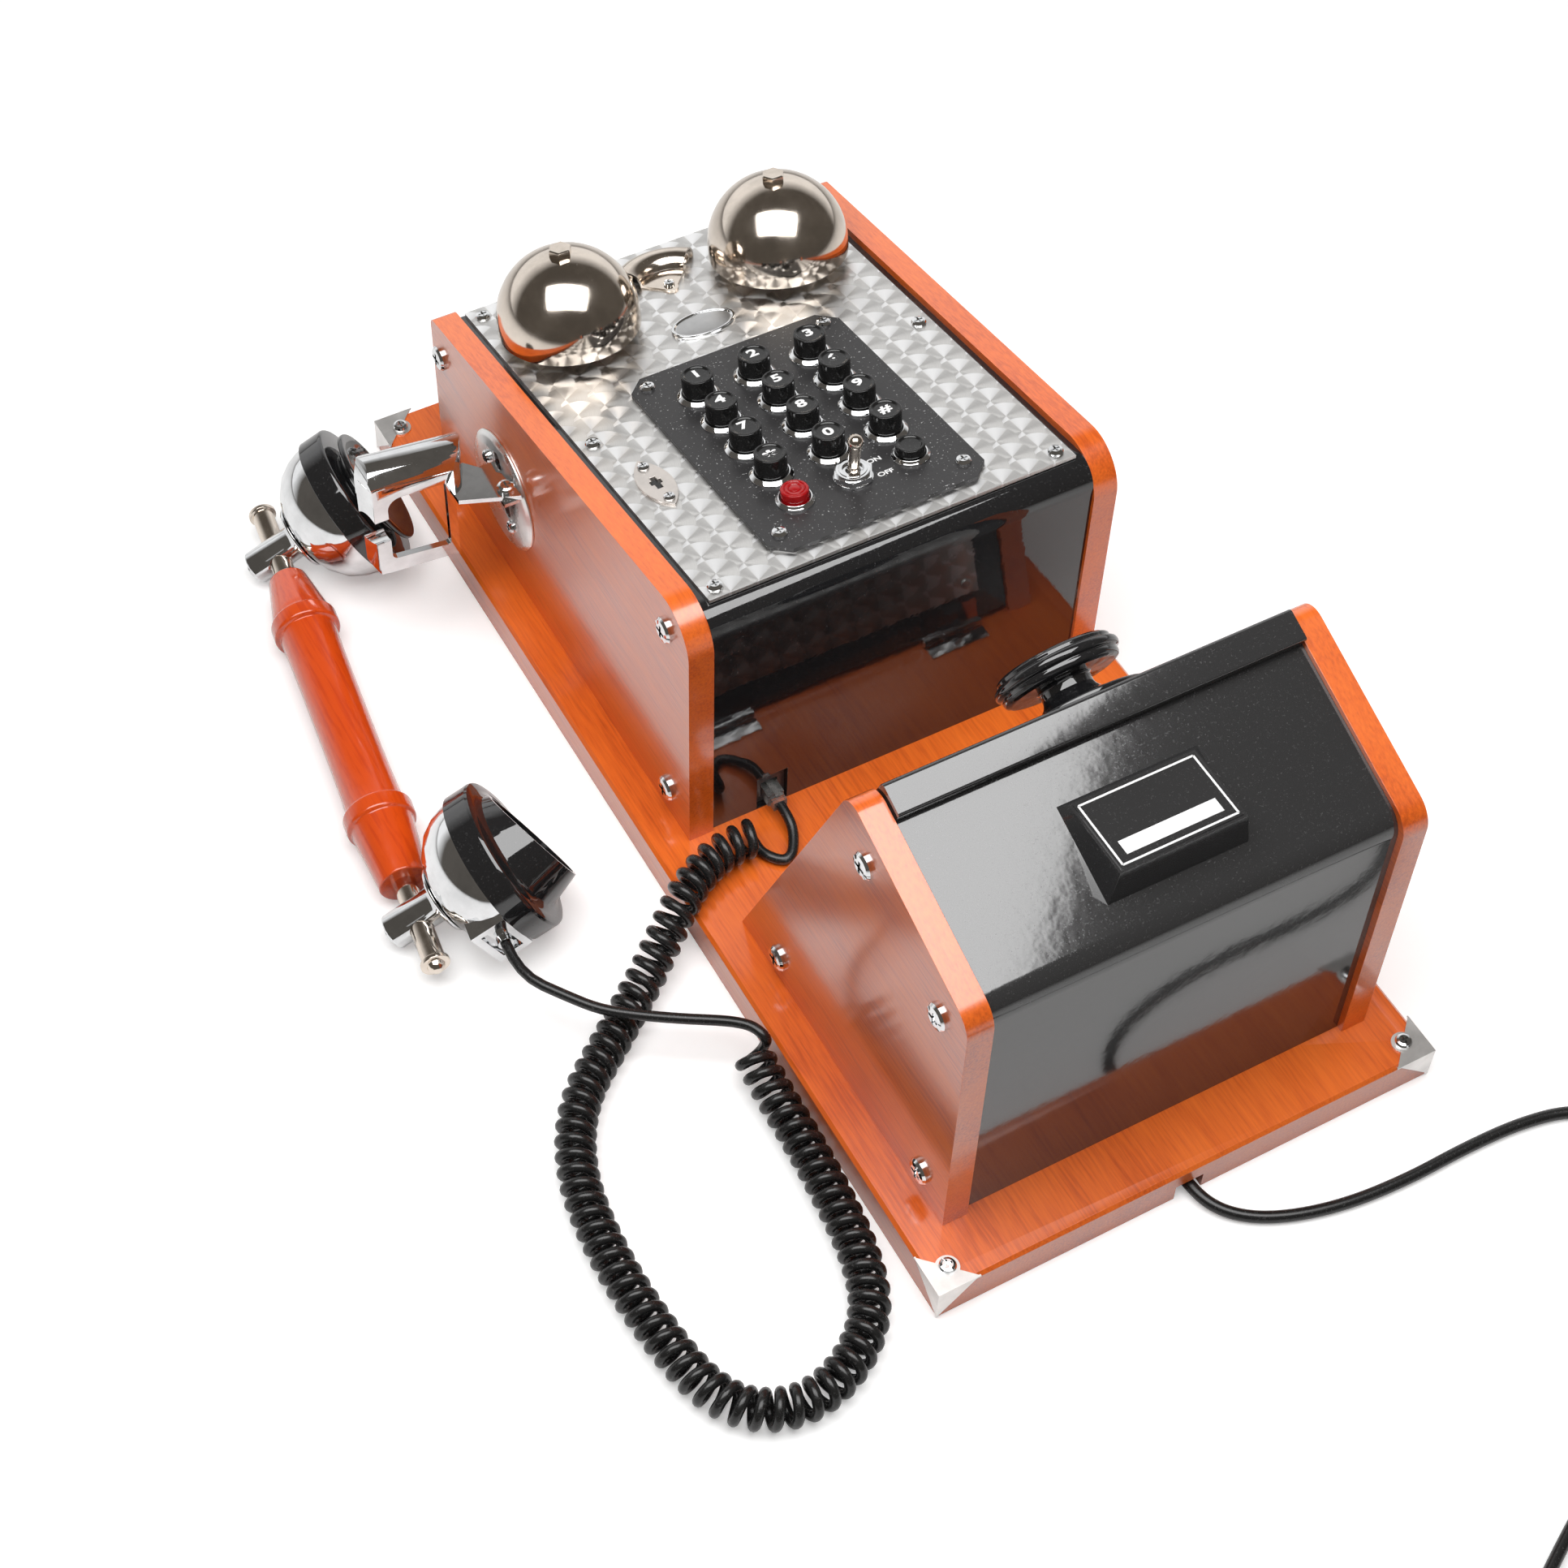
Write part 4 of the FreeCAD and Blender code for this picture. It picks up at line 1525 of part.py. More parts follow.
def make_coil_tie():
    """The strap round the coil's layers, a flat closed loop."""
    half_width = (2 * LINE_CORD_R + COIL_SIDE_GAP) * COIL_LAYER_TURNS / 2 + LINE_CORD_R + TIE_GAP
    low = COIL_LOW_Z - LINE_CORD_R - TIE_GAP
    high = low + 4 * LINE_CORD_R + COIL_LAYER_GAP + 2 * TIE_GAP
    left = COIL_X - COIL_MID_R - half_width
    right = COIL_X - COIL_MID_R + half_width + 1.5
    y0 = COIL_Y - TIE_WIDTH / 2
    y1 = COIL_Y + TIE_WIDTH / 2
    outer = block(left - TIE_THICK, right + TIE_THICK, y0, y1, low - TIE_THICK, high + TIE_THICK)
    edges = [edge for edge in outer.Edges if edge.BoundBox.YLength > TIE_WIDTH - 0.1]
    outer = outer.makeFillet(1.8, edges)
    return outer.cut(block(left, right, y0 - 1, y1 + 1, low, high))


def make_line_plug(end):
    """The wall end's clear modular plug, lying at the coil's end."""
    half = LINE_PLUG_WIDTH / 2
    low = end.z - LINE_CORD_R - 0.4
    body = block(end.x, end.x + LINE_PLUG_LENGTH, end.y - half, end.y + half, low, low + LINE_PLUG_HEIGHT)
    latch = prism([(end.x + 2, LINE_PLUG_HEIGHT + 2.0), (end.x + 18, LINE_PLUG_HEIGHT - 0.2),
                   (end.x + 18, LINE_PLUG_HEIGHT + 0.9), (end.x + 2, LINE_PLUG_HEIGHT + 3.0)], -1.6, 1.6)
    turn = Placement(Vector(0, end.y, low), Rotation(Vector(1, 0, 0), 90))
    return fuse_all([body, placed(latch, turn)])


def make_nodes():
    """Every node of the part, by name."""
    nodes = {
        "backboard": make_backboard(),
        "corner_brackets": make_brackets(),
        "case_panels": make_case_panels(),
        "case_shell": make_case_shell(),
        "front_plate": make_front_plate(),
        "keypad_plate": make_keypad_plate(),
        "plate_screws": make_plate_screws(),
        "key_bezels": make_bezels(),
        "recall_button": make_key(KEY_A[2], LOW_ROW_S, RECALL_R, RECALL_TOP_N),
        "ringer_lamp": make_lamp(),
        "toggle_switch": make_toggle_switch(),
        "toggle_lever": make_toggle_lever(),
        "bells": make_bells() + make_bell_posts(),
        "striker_guard": make_guard(),
        "striker": make_striker(),
        "ringer_coils": make_ringer(),
        "badge": make_badge(),
        "keyhole_plate": make_escutcheon(),
        "trim_screws": make_trim_screws(),
        "panel_bolts": make_panel_bolts(),
        "rosette": make_rosette(),
        "hook_lever": [make_hook_lever(), make_hook_screw()],
        "hook_bracket": make_hook_bracket(),
        "cradle": make_cradle(),
        "circuit_board": make_circuit_board(),
        "handset_jack": make_jack(),
        "handset_plug": make_plug(),
        "box_panels": make_box_panels(),
        "box_shell": make_box_shell(),
        "box_lid": make_lid(),
        "lid_plate": make_lid_plate(),
        "lid_knob": make_knob(),
        "hinge_leaves": make_hinge_leaves(),
        "lid_leaves": make_lid_leaves(),
        "name_block": make_name_block(),
        "handset_handle": make_handle(),
        "handset_rod": make_rod(),
        "handset_arms": make_arms(),
        "handset_cups": make_cups(),
        "ear_cap": make_ear_cap(),
        "mouth_cap": make_mouth_cap(),
    }
    for name, a, s in key_places():
        nodes["key_" + name] = make_key(a, s, KEY_R, KEY_TOP_N)
    nodes.update(make_cords())
    return nodes


def main():
    """Write one STEP file for each node."""
    os.makedirs("parts", exist_ok=True)
    for name, shape in make_nodes().items():
        if isinstance(shape, list):
            shape = Part.makeCompound(shape)
        shape.exportStep("parts/" + name + ".step")


main()
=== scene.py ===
import json
import logging
import math
from dataclasses import dataclass
from enum import Enum
from typing import Optional, Sequence

import bmesh
import bpy
import numpy as np
from mathutils import Matrix, Vector


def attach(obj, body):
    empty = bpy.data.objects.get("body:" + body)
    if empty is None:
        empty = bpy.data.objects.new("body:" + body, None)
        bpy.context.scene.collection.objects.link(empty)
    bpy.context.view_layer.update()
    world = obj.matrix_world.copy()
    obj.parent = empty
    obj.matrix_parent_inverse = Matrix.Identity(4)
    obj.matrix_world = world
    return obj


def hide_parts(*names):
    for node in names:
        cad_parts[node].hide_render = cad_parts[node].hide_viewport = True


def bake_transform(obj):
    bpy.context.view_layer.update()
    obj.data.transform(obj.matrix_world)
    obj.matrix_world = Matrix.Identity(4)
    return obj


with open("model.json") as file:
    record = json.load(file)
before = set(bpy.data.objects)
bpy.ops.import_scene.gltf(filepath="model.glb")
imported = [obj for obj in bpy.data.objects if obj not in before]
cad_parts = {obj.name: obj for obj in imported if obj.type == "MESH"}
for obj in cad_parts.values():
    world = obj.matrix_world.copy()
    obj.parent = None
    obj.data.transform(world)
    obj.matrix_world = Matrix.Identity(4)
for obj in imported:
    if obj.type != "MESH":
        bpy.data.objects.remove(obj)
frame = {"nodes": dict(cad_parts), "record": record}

LOG = logging.getLogger("wall_telephone")
MM = 0.001
CAPITAL_SHARE = 0.72
SHARP = 35.0
NODES = frame["nodes"]
Colour = tuple[float, float, float]
Point = tuple[float, float, float]
Material = bpy.types.Material
Piece = bpy.types.Object
Socket = bpy.types.NodeSocket


class Body(str, Enum):
    """The moving bodies that pieces ride on."""

    BASE = "base"
    LID = "lid"
    HOOK = "hook"
    HANDSET = "handset"
    STRIKER = "striker"
    TOGGLE = "toggle_lever"
    RECALL = "recall_button"


# Node trees


class NodeTree:
    """A node tree and short calls that add to it."""

    def __init__(self, tree: bpy.types.NodeTree) -> None:
        """Empty the tree."""
        self.tree = tree
        self.tree.nodes.clear()

    def add(self, kind: str, feeds: Optional[dict] = None, **settings: object) -> bpy.types.Node:
        """Add a node and fill its sockets.

        Args:
            kind: the node type without its ShaderNode prefix.
            feeds: socket name or number to a value or to another node's output.
            settings: the node's own properties.

        Returns:
            The new node.
        """
        node = self.tree.nodes.new("ShaderNode" + kind)
        for key, value in settings.items():
            setattr(node, key, value)
        for key, value in (feeds or {}).items():
            self.feed(node, key, value)
        return node

    def feed(self, node: bpy.types.Node, key: object, value: object) -> None:
        """Link an output into a socket, or set the socket's own value."""
        if isinstance(value, Socket):
            self.tree.links.new(value, node.inputs[key])
        else:
            node.inputs[key].default_value = value

    def maths(self, operation: str, *values: object) -> Socket:
        """One Math node's result."""
        return self.add("Math", dict(enumerate(values)), operation=operation).outputs[0]

    def blend(self, first: Socket, first_share: float, second: Socket, second_share: float) -> Socket:
        """Two values, each times its share, added."""
        first_part = self.maths("MULTIPLY", first, first_share)
        return self.maths("ADD", first_part, self.maths("MULTIPLY", second, second_share))

    def vector(self, operation: str, first: object, second: object = (0, 0, 0)) -> Socket:
        """One Vector Math node's result."""
        return self.add("VectorMath", {0: first, 1: second}, operation=operation).outputs[0]

    def dot(self, first: object, second: object) -> Socket:
        """The dot product of two vectors."""
        return self.add("VectorMath", {0: first, 1: second}, operation="DOT_PRODUCT").outputs["Value"]

    def scaled(self, vector: object, factor: object) -> Socket:
        """A vector times a number."""
        return self.add("VectorMath", {0: vector, "Scale": factor}, operation="SCALE").outputs[0]

    def noise(self, vector: Socket, scale: float, detail: float = 3.0,
              rough: float = 0.5) -> Socket:
        """A noise pattern's strength, about 0.3 to 0.7."""
        feeds = {"Vector": vector, "Scale": scale, "Detail": detail, "Roughness": rough}
        return self.add("TexNoise", feeds).outputs["Fac"]

    def ramp(self, factor: Socket, stops: Sequence[tuple[float, Colour]]) -> Socket:
        """Colours spread over a factor."""
        node = self.add("ValToRGB", {"Fac": factor})
        elements = node.color_ramp.elements
        while len(elements) < len(stops):
            elements.new(0.5)
        for element, (spot, colour) in zip(elements, stops):
            element.position = spot
            element.color = (*colour, 1.0)
        return node.outputs["Color"]

    def spread(self, factor: Socket, low: float, high: float,
               start: float = 0.0, end: float = 1.0) -> Socket:
        """A factor stretched from start..end to low..high."""
        return self.add("MapRange", {"Value": factor, "From Min": start, "From Max": end,
                                     "To Min": low, "To Max": high}).outputs[0]


class Recipe(NodeTree):
    """A material's node tree that ends in a Principled shader."""

    def __init__(self, name: str) -> None:
        """Start a tree with its shader and output."""
        self.material = bpy.data.materials.new(name)
        self.material.use_nodes = True
        super().__init__(self.material.node_tree)
        self.shader = self.add("BsdfPrincipled")
        self.add("OutputMaterial", {"Surface": self.shader.outputs[0]})

    def surface(self, **values: object) -> None:
        """Fill sockets of the shader; an underscore stands for a space."""
        for key, value in values.items():
            self.feed(self.shader, key.replace("_", " "), value)

    def place(self) -> Socket:
        """The object coordinates, in metres."""
        return self.add("TexCoord").outputs["Object"]

    def mapped(self, scale: Point, turn: Point = (0, 0, 0)) -> Socket:
        """Object coordinates scaled and turned."""
        feeds = {"Vector": self.place(), "Scale": scale, "Rotation": turn}
        return self.add("Mapping", feeds).outputs[0]

    def bump(self, height: Socket, depth: float, strength: float = 1.0) -> None:
        """Raise the surface by a pattern.

        Args:
            height: the pattern.
            depth: the height of one unit of the pattern, in metres.
            strength: how much of it shows.
        """
        node = self.add("Bump", {"Height": height, "Distance": depth, "Strength": strength})
        self.feed(self.shader, "Normal", node.outputs["Normal"])


# Finishes


@dataclass(frozen=True)
class StainedWood:
    """Orange-brown stained wood under satin lacquer, with grain along Y."""

    name: str = "stained_wood"
    light: Colour = (0.90, 0.175, 0.013)
    middle: Colour = (0.78, 0.135, 0.010)
    dark: Colour = (0.58, 0.082, 0.006)
    rough: float = 0.34
    grain_turn: Point = (0.0, 0.0, 0.0)

    def make(self) -> Material:
        """Fibres are noise stretched along the grain, over slow clouds of stain."""
        recipe = Recipe(self.name)
        fibres = recipe.noise(recipe.mapped((900, 45, 900), self.grain_turn), 1.0, 4.0, 0.6)
        clouds = recipe.noise(recipe.mapped((30, 9, 30), self.grain_turn), 1.0, 5.0, 0.6)
        specks = recipe.noise(recipe.place(), 1600.0, 2.0)
        mixed = recipe.blend(fibres, 0.45, clouds, 0.55)
        colour = recipe.ramp(mixed, ((0.36, self.dark), (0.48, self.middle), (0.62, self.light)))
        roughness = recipe.spread(clouds, self.rough - 0.05, self.rough + 0.08, 0.3, 0.7)
        recipe.surface(Base_Color=colour, Roughness=roughness, IOR=1.5, Coat_Weight=1.0, Coat_IOR=1.7,
                       Coat_Roughness=0.15)
        recipe.bump(recipe.blend(fibres, 0.7, specks, 0.3), 0.00022, 0.30)
        return recipe.material


@dataclass(frozen=True)
class Lacquer:
    """Deep orange lacquer on turned wood: glossy, with runs of darker stain along the grain."""

    name: str = "red_lacquer"
    light: Colour = (0.70, 0.075, 0.006)
    dark: Colour = (0.60, 0.055, 0.005)
    grain_turn: Point = (0.0, 0.0, 0.0)

    def make(self) -> Material:
        """Stretched noise darkens the stain, and a soft ripple breaks the gloss."""
        recipe = Recipe(self.name)
        fibres = recipe.noise(recipe.mapped((500, 26, 500), self.grain_turn), 1.0, 4.0, 0.55)
        colour = recipe.ramp(fibres, ((0.36, self.dark), (0.52, self.light)))
        recipe.surface(Base_Color=colour, Roughness=0.22, Coat_Weight=1.0, Coat_Roughness=0.06)
        recipe.bump(recipe.noise(recipe.place(), 240.0, 2.0), 0.0004, 0.35)
        return recipe.material


@dataclass(frozen=True)
class Plastic:
    """Moulded plastic: a deep colour, a gloss, light dust and a faint orange-peel ripple."""

    name: str
    colour: Colour
    rough: float = 0.08
    ripple: float = 0.00006
    ripple_scale: float = 160.0
    dust: float = 0.10
    ior: float = 1.5

    def make(self) -> Material:
        """Fine specks of dust lift the roughness, and slow noise ripples the gloss."""
        recipe = Recipe(self.name)
        specks = recipe.noise(recipe.place(), 900.0, 2.0, 0.7)
        roughness = recipe.spread(specks, self.rough, self.rough + self.dust, 0.58, 0.8)
        tint = recipe.ramp(specks, ((0.60, self.colour), (0.80, tuple(0.05 + 0.9 * c for c in self.colour))))
        recipe.surface(Base_Color=tint, Roughness=roughness, IOR=self.ior)
        recipe.bump(recipe.noise(recipe.place(), self.ripple_scale, 2.0), self.ripple, 0.5)
        return recipe.material


@dataclass(frozen=True)
class Plating:
    """Polished or brushed plating on metal."""

    name: str
    colour: Colour
    rough: float = 0.05
    wear: float = 0.06
    ripple: float = 0.00002

    def make(self) -> Material:
        """Cloudy wear and fine pits in the polish."""
        recipe = Recipe(self.name)
        clouds = recipe.noise(recipe.place(), 60.0, 4.0, 0.6)
        pits = recipe.noise(recipe.place(), 1400.0, 2.0, 0.6)
        roughness = recipe.maths("ADD", recipe.spread(clouds, self.rough, self.rough + self.wear, 0.45, 0.75),
                                 recipe.spread(pits, 0.0, 0.25, 0.66, 0.85))
        dull = tuple(0.82 * channel for channel in self.colour)
        colour = recipe.ramp(clouds, ((0.35, dull), (0.6, self.colour)))
        recipe.surface(Base_Color=colour, Metallic=1.0, Roughness=roughness)
        recipe.bump(recipe.noise(recipe.place(), 120.0, 2.0), self.ripple, 0.5)
        return recipe.material


@dataclass(frozen=True)
class TurnedSteel:
    """Engine-turned steel: rows of overlapping brushed discs on a plane."""

    name: str
    face: "Placing"
    pitch: float = 12.7 * MM
    disc: float = 0.76
    colour: Colour = (0.97, 0.96, 0.94)
    highlight_strength: float = 0.42
    highlight_angle: float = 1.07
    ground: float = 0.80

    def make(self) -> Material:
        """Each point takes the topmost of the four nearest discs that reaches it, and the brushing runs
        round that disc's middle. Two opposite fan-shaped wedges of every disc are painted brighter in the
        base colour: a painted highlight for the sheen of the brushing."""
        recipe = Recipe(self.name)
        shifted = recipe.vector("SUBTRACT", recipe.place(), tuple(v * MM for v in self.face.origin))
        near = []
        for axis in (self.face.across, self.face.up):
            near.append(recipe.maths("FRACT", recipe.maths("DIVIDE", recipe.dot(shifted, axis), self.pitch)))
        over = [recipe.maths("SUBTRACT", share, 1.0) for share in near]
        u, v = over[0], over[1]
        for first, second in ((over[0], near[1]), (near[0], over[1]), (near[0], near[1])):
            reach = recipe.maths("ADD", recipe.maths("POWER", recipe.maths("ABSOLUTE", first), 2.0),
                                 recipe.maths("POWER", recipe.maths("ABSOLUTE", second), 2.0))
            inside = recipe.maths("LESS_THAN", reach, self.disc ** 2)
            u = self._pick(recipe, inside, first, u)
            v = self._pick(recipe, inside, second, v)
        tangent = self._tangent(recipe, u, v)
        squares = recipe.maths("ADD", recipe.maths("MULTIPLY", u, u), recipe.maths("MULTIPLY", v, v))
        radius = recipe.maths("SQRT", squares)
        feeds = {"W": recipe.maths("MULTIPLY", radius, 60.0), "Scale": 1.0, "Detail": 3.0}
        rings = recipe.add("TexNoise", feeds, noise_dimensions="1D").outputs["Fac"]
        # Painted highlight: by the angle round each disc, two opposite wedges get a lighter base colour,
        # standing in for light caught by the brushing.
        angle = recipe.maths("ARCTAN2", v, u)
        doubled = recipe.maths("MULTIPLY", recipe.maths("SUBTRACT", angle, self.highlight_angle), 2.0)
        painted_highlight_fans = recipe.spread(recipe.maths("COSINE", doubled), 0.0, self.highlight_strength, 0.40, 0.70)
        shade = recipe.maths("ADD", painted_highlight_fans, recipe.spread(rings, -0.05, 0.05, 0.3, 0.7))
        value = recipe.maths("ADD", self.ground, shade)
        colour = recipe.scaled(self.colour, value)
        recipe.surface(Base_Color=colour, Metallic=1.0, Roughness=0.34, Anisotropic=0.85, Tangent=tangent)
        recipe.bump(rings, 0.00002, 0.25)
        return recipe.material

    def _pick(self, recipe: Recipe, inside: Socket, new: Socket,
              old: Socket) -> Socket:
        """The new value where inside is one, and the old value elsewhere."""
        return recipe.add("Mix", {0: inside, 2: old, 3: new}, data_type="FLOAT").outputs[0]

    def _tangent(self, recipe: Recipe, u: Socket, v: Socket) -> Socket:
        """The brushing's direction: across times minus v, plus up times u."""
        sideways = recipe.scaled(self.face.across, recipe.maths("MULTIPLY", v, -1.0))
        return recipe.vector("NORMALIZE", recipe.vector("ADD", sideways, recipe.scaled(self.face.up, u)))


@dataclass(frozen=True)
class SpeckledPad:
    """Satin dark grey paint with fine pale specks."""

    name: str = "pad_black"
    colour: Colour = (0.030, 0.029, 0.030)
    speck: Colour = (0.42, 0.42, 0.42)
    rough: float = 0.36

    def make(self) -> Material:
        """Only the peaks of a fine noise turn pale, and a slower one grains the surface."""
        recipe = Recipe(self.name)
        specks = recipe.noise(recipe.place(), 1100.0, 1.0, 0.4)
        colour = recipe.ramp(specks, ((0.70, self.colour), (0.76, self.speck)))
        recipe.surface(Base_Color=colour, Roughness=self.rough, IOR=1.5)
        recipe.bump(recipe.noise(recipe.place(), 700.0, 2.0), 0.00008, 0.5)
        return recipe.material


@dataclass(frozen=True)
class Clear:
    """Clear or tinted moulded plastic that light passes through."""

    name: str
    colour: Colour
    rough: float = 0.05
    passes: float = 0.9

    def make(self) -> Material:
        """A light ripple bends the light that passes."""
        recipe = Recipe(self.name)
        clouds = recipe.noise(recipe.place(), 500.0, 2.0)
        tint = recipe.ramp(clouds, ((0.3, tuple(0.85 * c for c in self.colour)), (0.7, self.colour)))
        recipe.surface(Base_Color=tint, Roughness=self.rough, Transmission_Weight=self.passes, IOR=1.49)
        recipe.bump(clouds, 0.00004, 0.4)
        return recipe.material


@dataclass(frozen=True)
class Paint:
    """Flat printed paint with a slightly uneven edge to its gloss."""

    name: str
    colour: Colour
    rough: float = 0.45

    def make(self) -> Material:
        """Noise thins the print a little."""
        recipe = Recipe(self.name)
        clouds = recipe.noise(recipe.place(), 700.0, 2.0)
        tint = recipe.ramp(clouds, ((0.3, tuple(0.9 * c for c in self.colour)), (0.6, self.colour)))
        recipe.surface(Base_Color=tint, Roughness=self.rough)
        return recipe.material


# Placing and meshes


@dataclass(frozen=True)
class Placing:
    """A local frame: its origin in millimetres, and its three unit axes."""

    origin: Point
    across: Point = (1.0, 0.0, 0.0)
    up: Point = (0.0, 1.0, 0.0)
    out: Point = (0.0, 0.0, 1.0)

    def metres(self, points: np.ndarray) -> np.ndarray:
        """Local points as metres in the part's frame: the axes, weighed by the coordinates, plus the origin."""
        axes = np.array((self.across, self.up, self.out))
        return (np.asarray(points, float) @ axes + np.array(self.origin)) * MM

    def point(self, a: float, s: float, n: float) -> Point:
        """One local point in row millimetres."""
        return tuple(self.metres(np.array([[a, s, n]]))[0] / MM)

    def moved(self, a: float, s: float, n: float) -> "Placing":
        """The same axes at another local origin."""
        return Placing(self.point(a, s, n), self.across, self.up, self.out)

    def leaning(self, degrees: float) -> "Placing":
        """The same origin, its axes turned about the across axis."""
        turn = math.radians(degrees)
        up, out = np.array(self.up), np.array(self.out)
        leant_up = math.cos(turn) * up + math.sin(turn) * out
        leant_out = math.cos(turn) * out - math.sin(turn) * up
        return Placing(self.origin, self.across, tuple(leant_up), tuple(leant_out))

    def squashed(self, share: float) -> "Placing":
        """The same frame, its up axis shortened, which turns circles into ovals."""
        return Placing(self.origin, self.across, tuple(share * np.array(self.up)), self.out)


def slope_placing(origin: Point, degrees: float) -> Placing:
    """A frame turned about X, by the right-hand rule."""
    turn = math.radians(degrees)
    return Placing(origin, (1, 0, 0), (0, math.cos(turn), math.sin(turn)), (0, -math.sin(turn), math.cos(turn)))


FRONT = slope_placing((0.0, -27.24, 158.65), -9.830)
SLOPE = slope_placing((0.0, -239.7, 158.7), 21.473)
LID = slope_placing((0.0, -151.0, 193.6), -66.548)


def handset_placing(along_rod: float) -> Placing:
    """The handset's arm frame at a distance along its rod: X along the rod, Z along the arm."""
    turn, tilt = math.radians(7.4), math.radians(28.0)
    along = np.array((math.sin(turn), math.cos(turn), 0.0))
    arm = np.array((math.cos(turn) * math.cos(tilt), -math.sin(turn) * math.cos(tilt), math.sin(tilt)))
    origin = np.array((-220.3, -5.6, 13.9)) + along * along_rod
    return Placing(tuple(origin), tuple(along), tuple(np.cross(arm, along)), tuple(arm))


def rod_placing() -> Placing:
    """The handset's rod frame: its out axis runs along the rod from the mouth arm."""
    arm = handset_placing(0.0)
    return Placing(arm.origin, arm.up, arm.out, arm.across)


def linked(name: str, data: bpy.types.ID) -> Piece:
    """A new object in the scene."""
    piece = bpy.data.objects.new(name, data)
    bpy.context.scene.collection.objects.link(piece)
    return piece


def baked(curve: bpy.types.Curve) -> bpy.types.Mesh:
    """The mesh of a curve or text."""
    draft = linked(curve.name + "_draft", curve)
    bpy.context.view_layer.update()
    mesh = bpy.data.meshes.new_from_object(draft.evaluated_get(bpy.context.evaluated_depsgraph_get()))
    bpy.data.objects.remove(draft)
    return mesh


def corners_of(mesh: bpy.types.Mesh) -> np.ndarray:
    """A mesh's points."""
    spots = np.empty(len(mesh.vertices) * 3)
    mesh.vertices.foreach_get("co", spots)
    return spots.reshape(-1, 3)


def new_piece(name: str, vertices: np.ndarray, faces: Sequence[Sequence[int]], material: Material,
              smooth_below: float = SHARP) -> Piece:
    """Make a mesh object at the origin, its place in its mesh.

    Args:
        name: the piece's name.
        vertices: points in metres.
        faces: point numbers of each face.
        material: the piece's finish.
        smooth_below: edges sharper than this many degrees stay sharp.

    Returns:
        The object, linked to the scene.
    """
    mesh = bpy.data.meshes.new(name)
    mesh.from_pydata(np.asarray(vertices).tolist(), [], [list(face) for face in faces])
    mesh.materials.append(material)
    mesh.update()
    piece = linked(name, mesh)
    smooth(piece, smooth_below)
    return piece


def smooth(piece: Piece, below: float = SHARP) -> None:
    """Shade faces smooth, apart from edges sharper than an angle in degrees."""
    mesh = piece.data
    mesh.polygons.foreach_set("use_smooth", np.ones(len(mesh.polygons), bool))
    mesh.set_sharp_from_angle(angle=math.radians(below))
    mesh.update()


def grid_faces(rows: int, columns: int, looped: bool = False) -> list[tuple[int, int, int, int]]:
    """Quads of a grid of points, wrapped round its columns, and from its last row to its first if looped."""
    count = rows if looped else rows - 1
    row = np.arange(count)[:, None]
    above = (row + 1) % rows
    column = np.arange(columns)[None, :]
    following = (column + 1) % columns
    low, high = row * columns, above * columns
    corners = (low + column, low + following, high + following, high + column)
    spread = [np.broadcast_to(corner, (count, columns)) for corner in corners]
    return np.stack(spread, -1).reshape(-1, 4).tolist()


def turned_piece(name: str, profile: Sequence[tuple[float, float]], placing: Placing, material: Material,
                 segments: int = 96, smooth_below: float = SHARP, looped: bool = False) -> Piece:
    """Turn a profile about the placing's out axis.

    Each profile point (radius, height) becomes a ring: radius times cosine and sine of the angle, at that
    height. The profile runs from the low end, up the outside. Ends on the axis close the form, and a looped
    profile closes on itself.
    """
    radii, heights = np.array(profile, float).T
    radii = np.maximum(radii, 0.0005)
    angles = np.linspace(0, 2 * np.pi, segments, endpoint=False)
    points = np.stack([radii[:, None] * np.cos(angles), radii[:, None] * np.sin(angles),
                       np.broadcast_to(heights[:, None], (len(radii), segments))], -1).reshape(-1, 3)
    faces = grid_faces(len(radii), segments, looped)
    last = (len(radii) - 1) * segments
    if not looped:
        faces.append(list(range(segments))[::-1])
        faces.append([last + index for index in range(segments)])
    return new_piece(name, placing.metres(points), faces, material, smooth_below)


def rounded_profile(points: Sequence[tuple[float, float, float]], steps: int = 6) -> list[tuple[float, float]]:
    """A profile with its corners rounded.

    Args:
        points: radius, height and corner radius of each point.
        steps: points on each rounded corner.

    Returns:
        Profile points; each corner is a quadratic curve between its two tangent points.
    """
    spots = np.array([point[:2] for point in points], float)
    result = [tuple(spots[0])]
    for index in range(1, len(points) - 1):
        before, corner, after = spots[index - 1], spots[index], spots[index + 1]
        reach = points[index][2]
        if reach <= 0:
            result.append(tuple(corner))
            continue
        back = (before - corner) / np.linalg.norm(before - corner)
        onward = (after - corner) / np.linalg.norm(after - corner)
        reach = min(reach, 0.49 * np.linalg.norm(before - corner), 0.49 * np.linalg.norm(after - corner))
        turn = np.linspace(0, 1, steps)[:, None]
        first, last = corner + back * reach, corner + onward * reach
        curve = (1 - turn) ** 2 * first + 2 * turn * (1 - turn) * corner + turn ** 2 * last
        result += [tuple(spot) for spot in curve]
    result.append(tuple(spots[-1]))
    return result


def rounded_piece(name: str, points: Sequence[tuple[float, float, float]], placing: Placing, material: Material,
                  segments: int = 96, steps: int = 6, **shape: object) -> Piece:
    """Turn a profile with its corners rounded."""
    return turned_piece(name, rounded_profile(points, steps), placing, material, segments, **shape)


def stand_for(piece: Piece, node: str, body: Body = Body.BASE) -> Piece:
    """Let a piece stand for a CAD node and ride on a body."""
    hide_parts(node)
    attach(piece, body)
    return piece


def soften(piece: Piece, width: float, segments: int = 3) -> None:
    """Round a piece's sharp edges, by a width in metres."""
    rounding = piece.modifiers.new("edges", "BEVEL")
    rounding.width = width
    rounding.segments = segments
    rounding.limit_method = "ANGLE"
    rounding.angle_limit = math.radians(SHARP)
    rounding.harden_normals = True


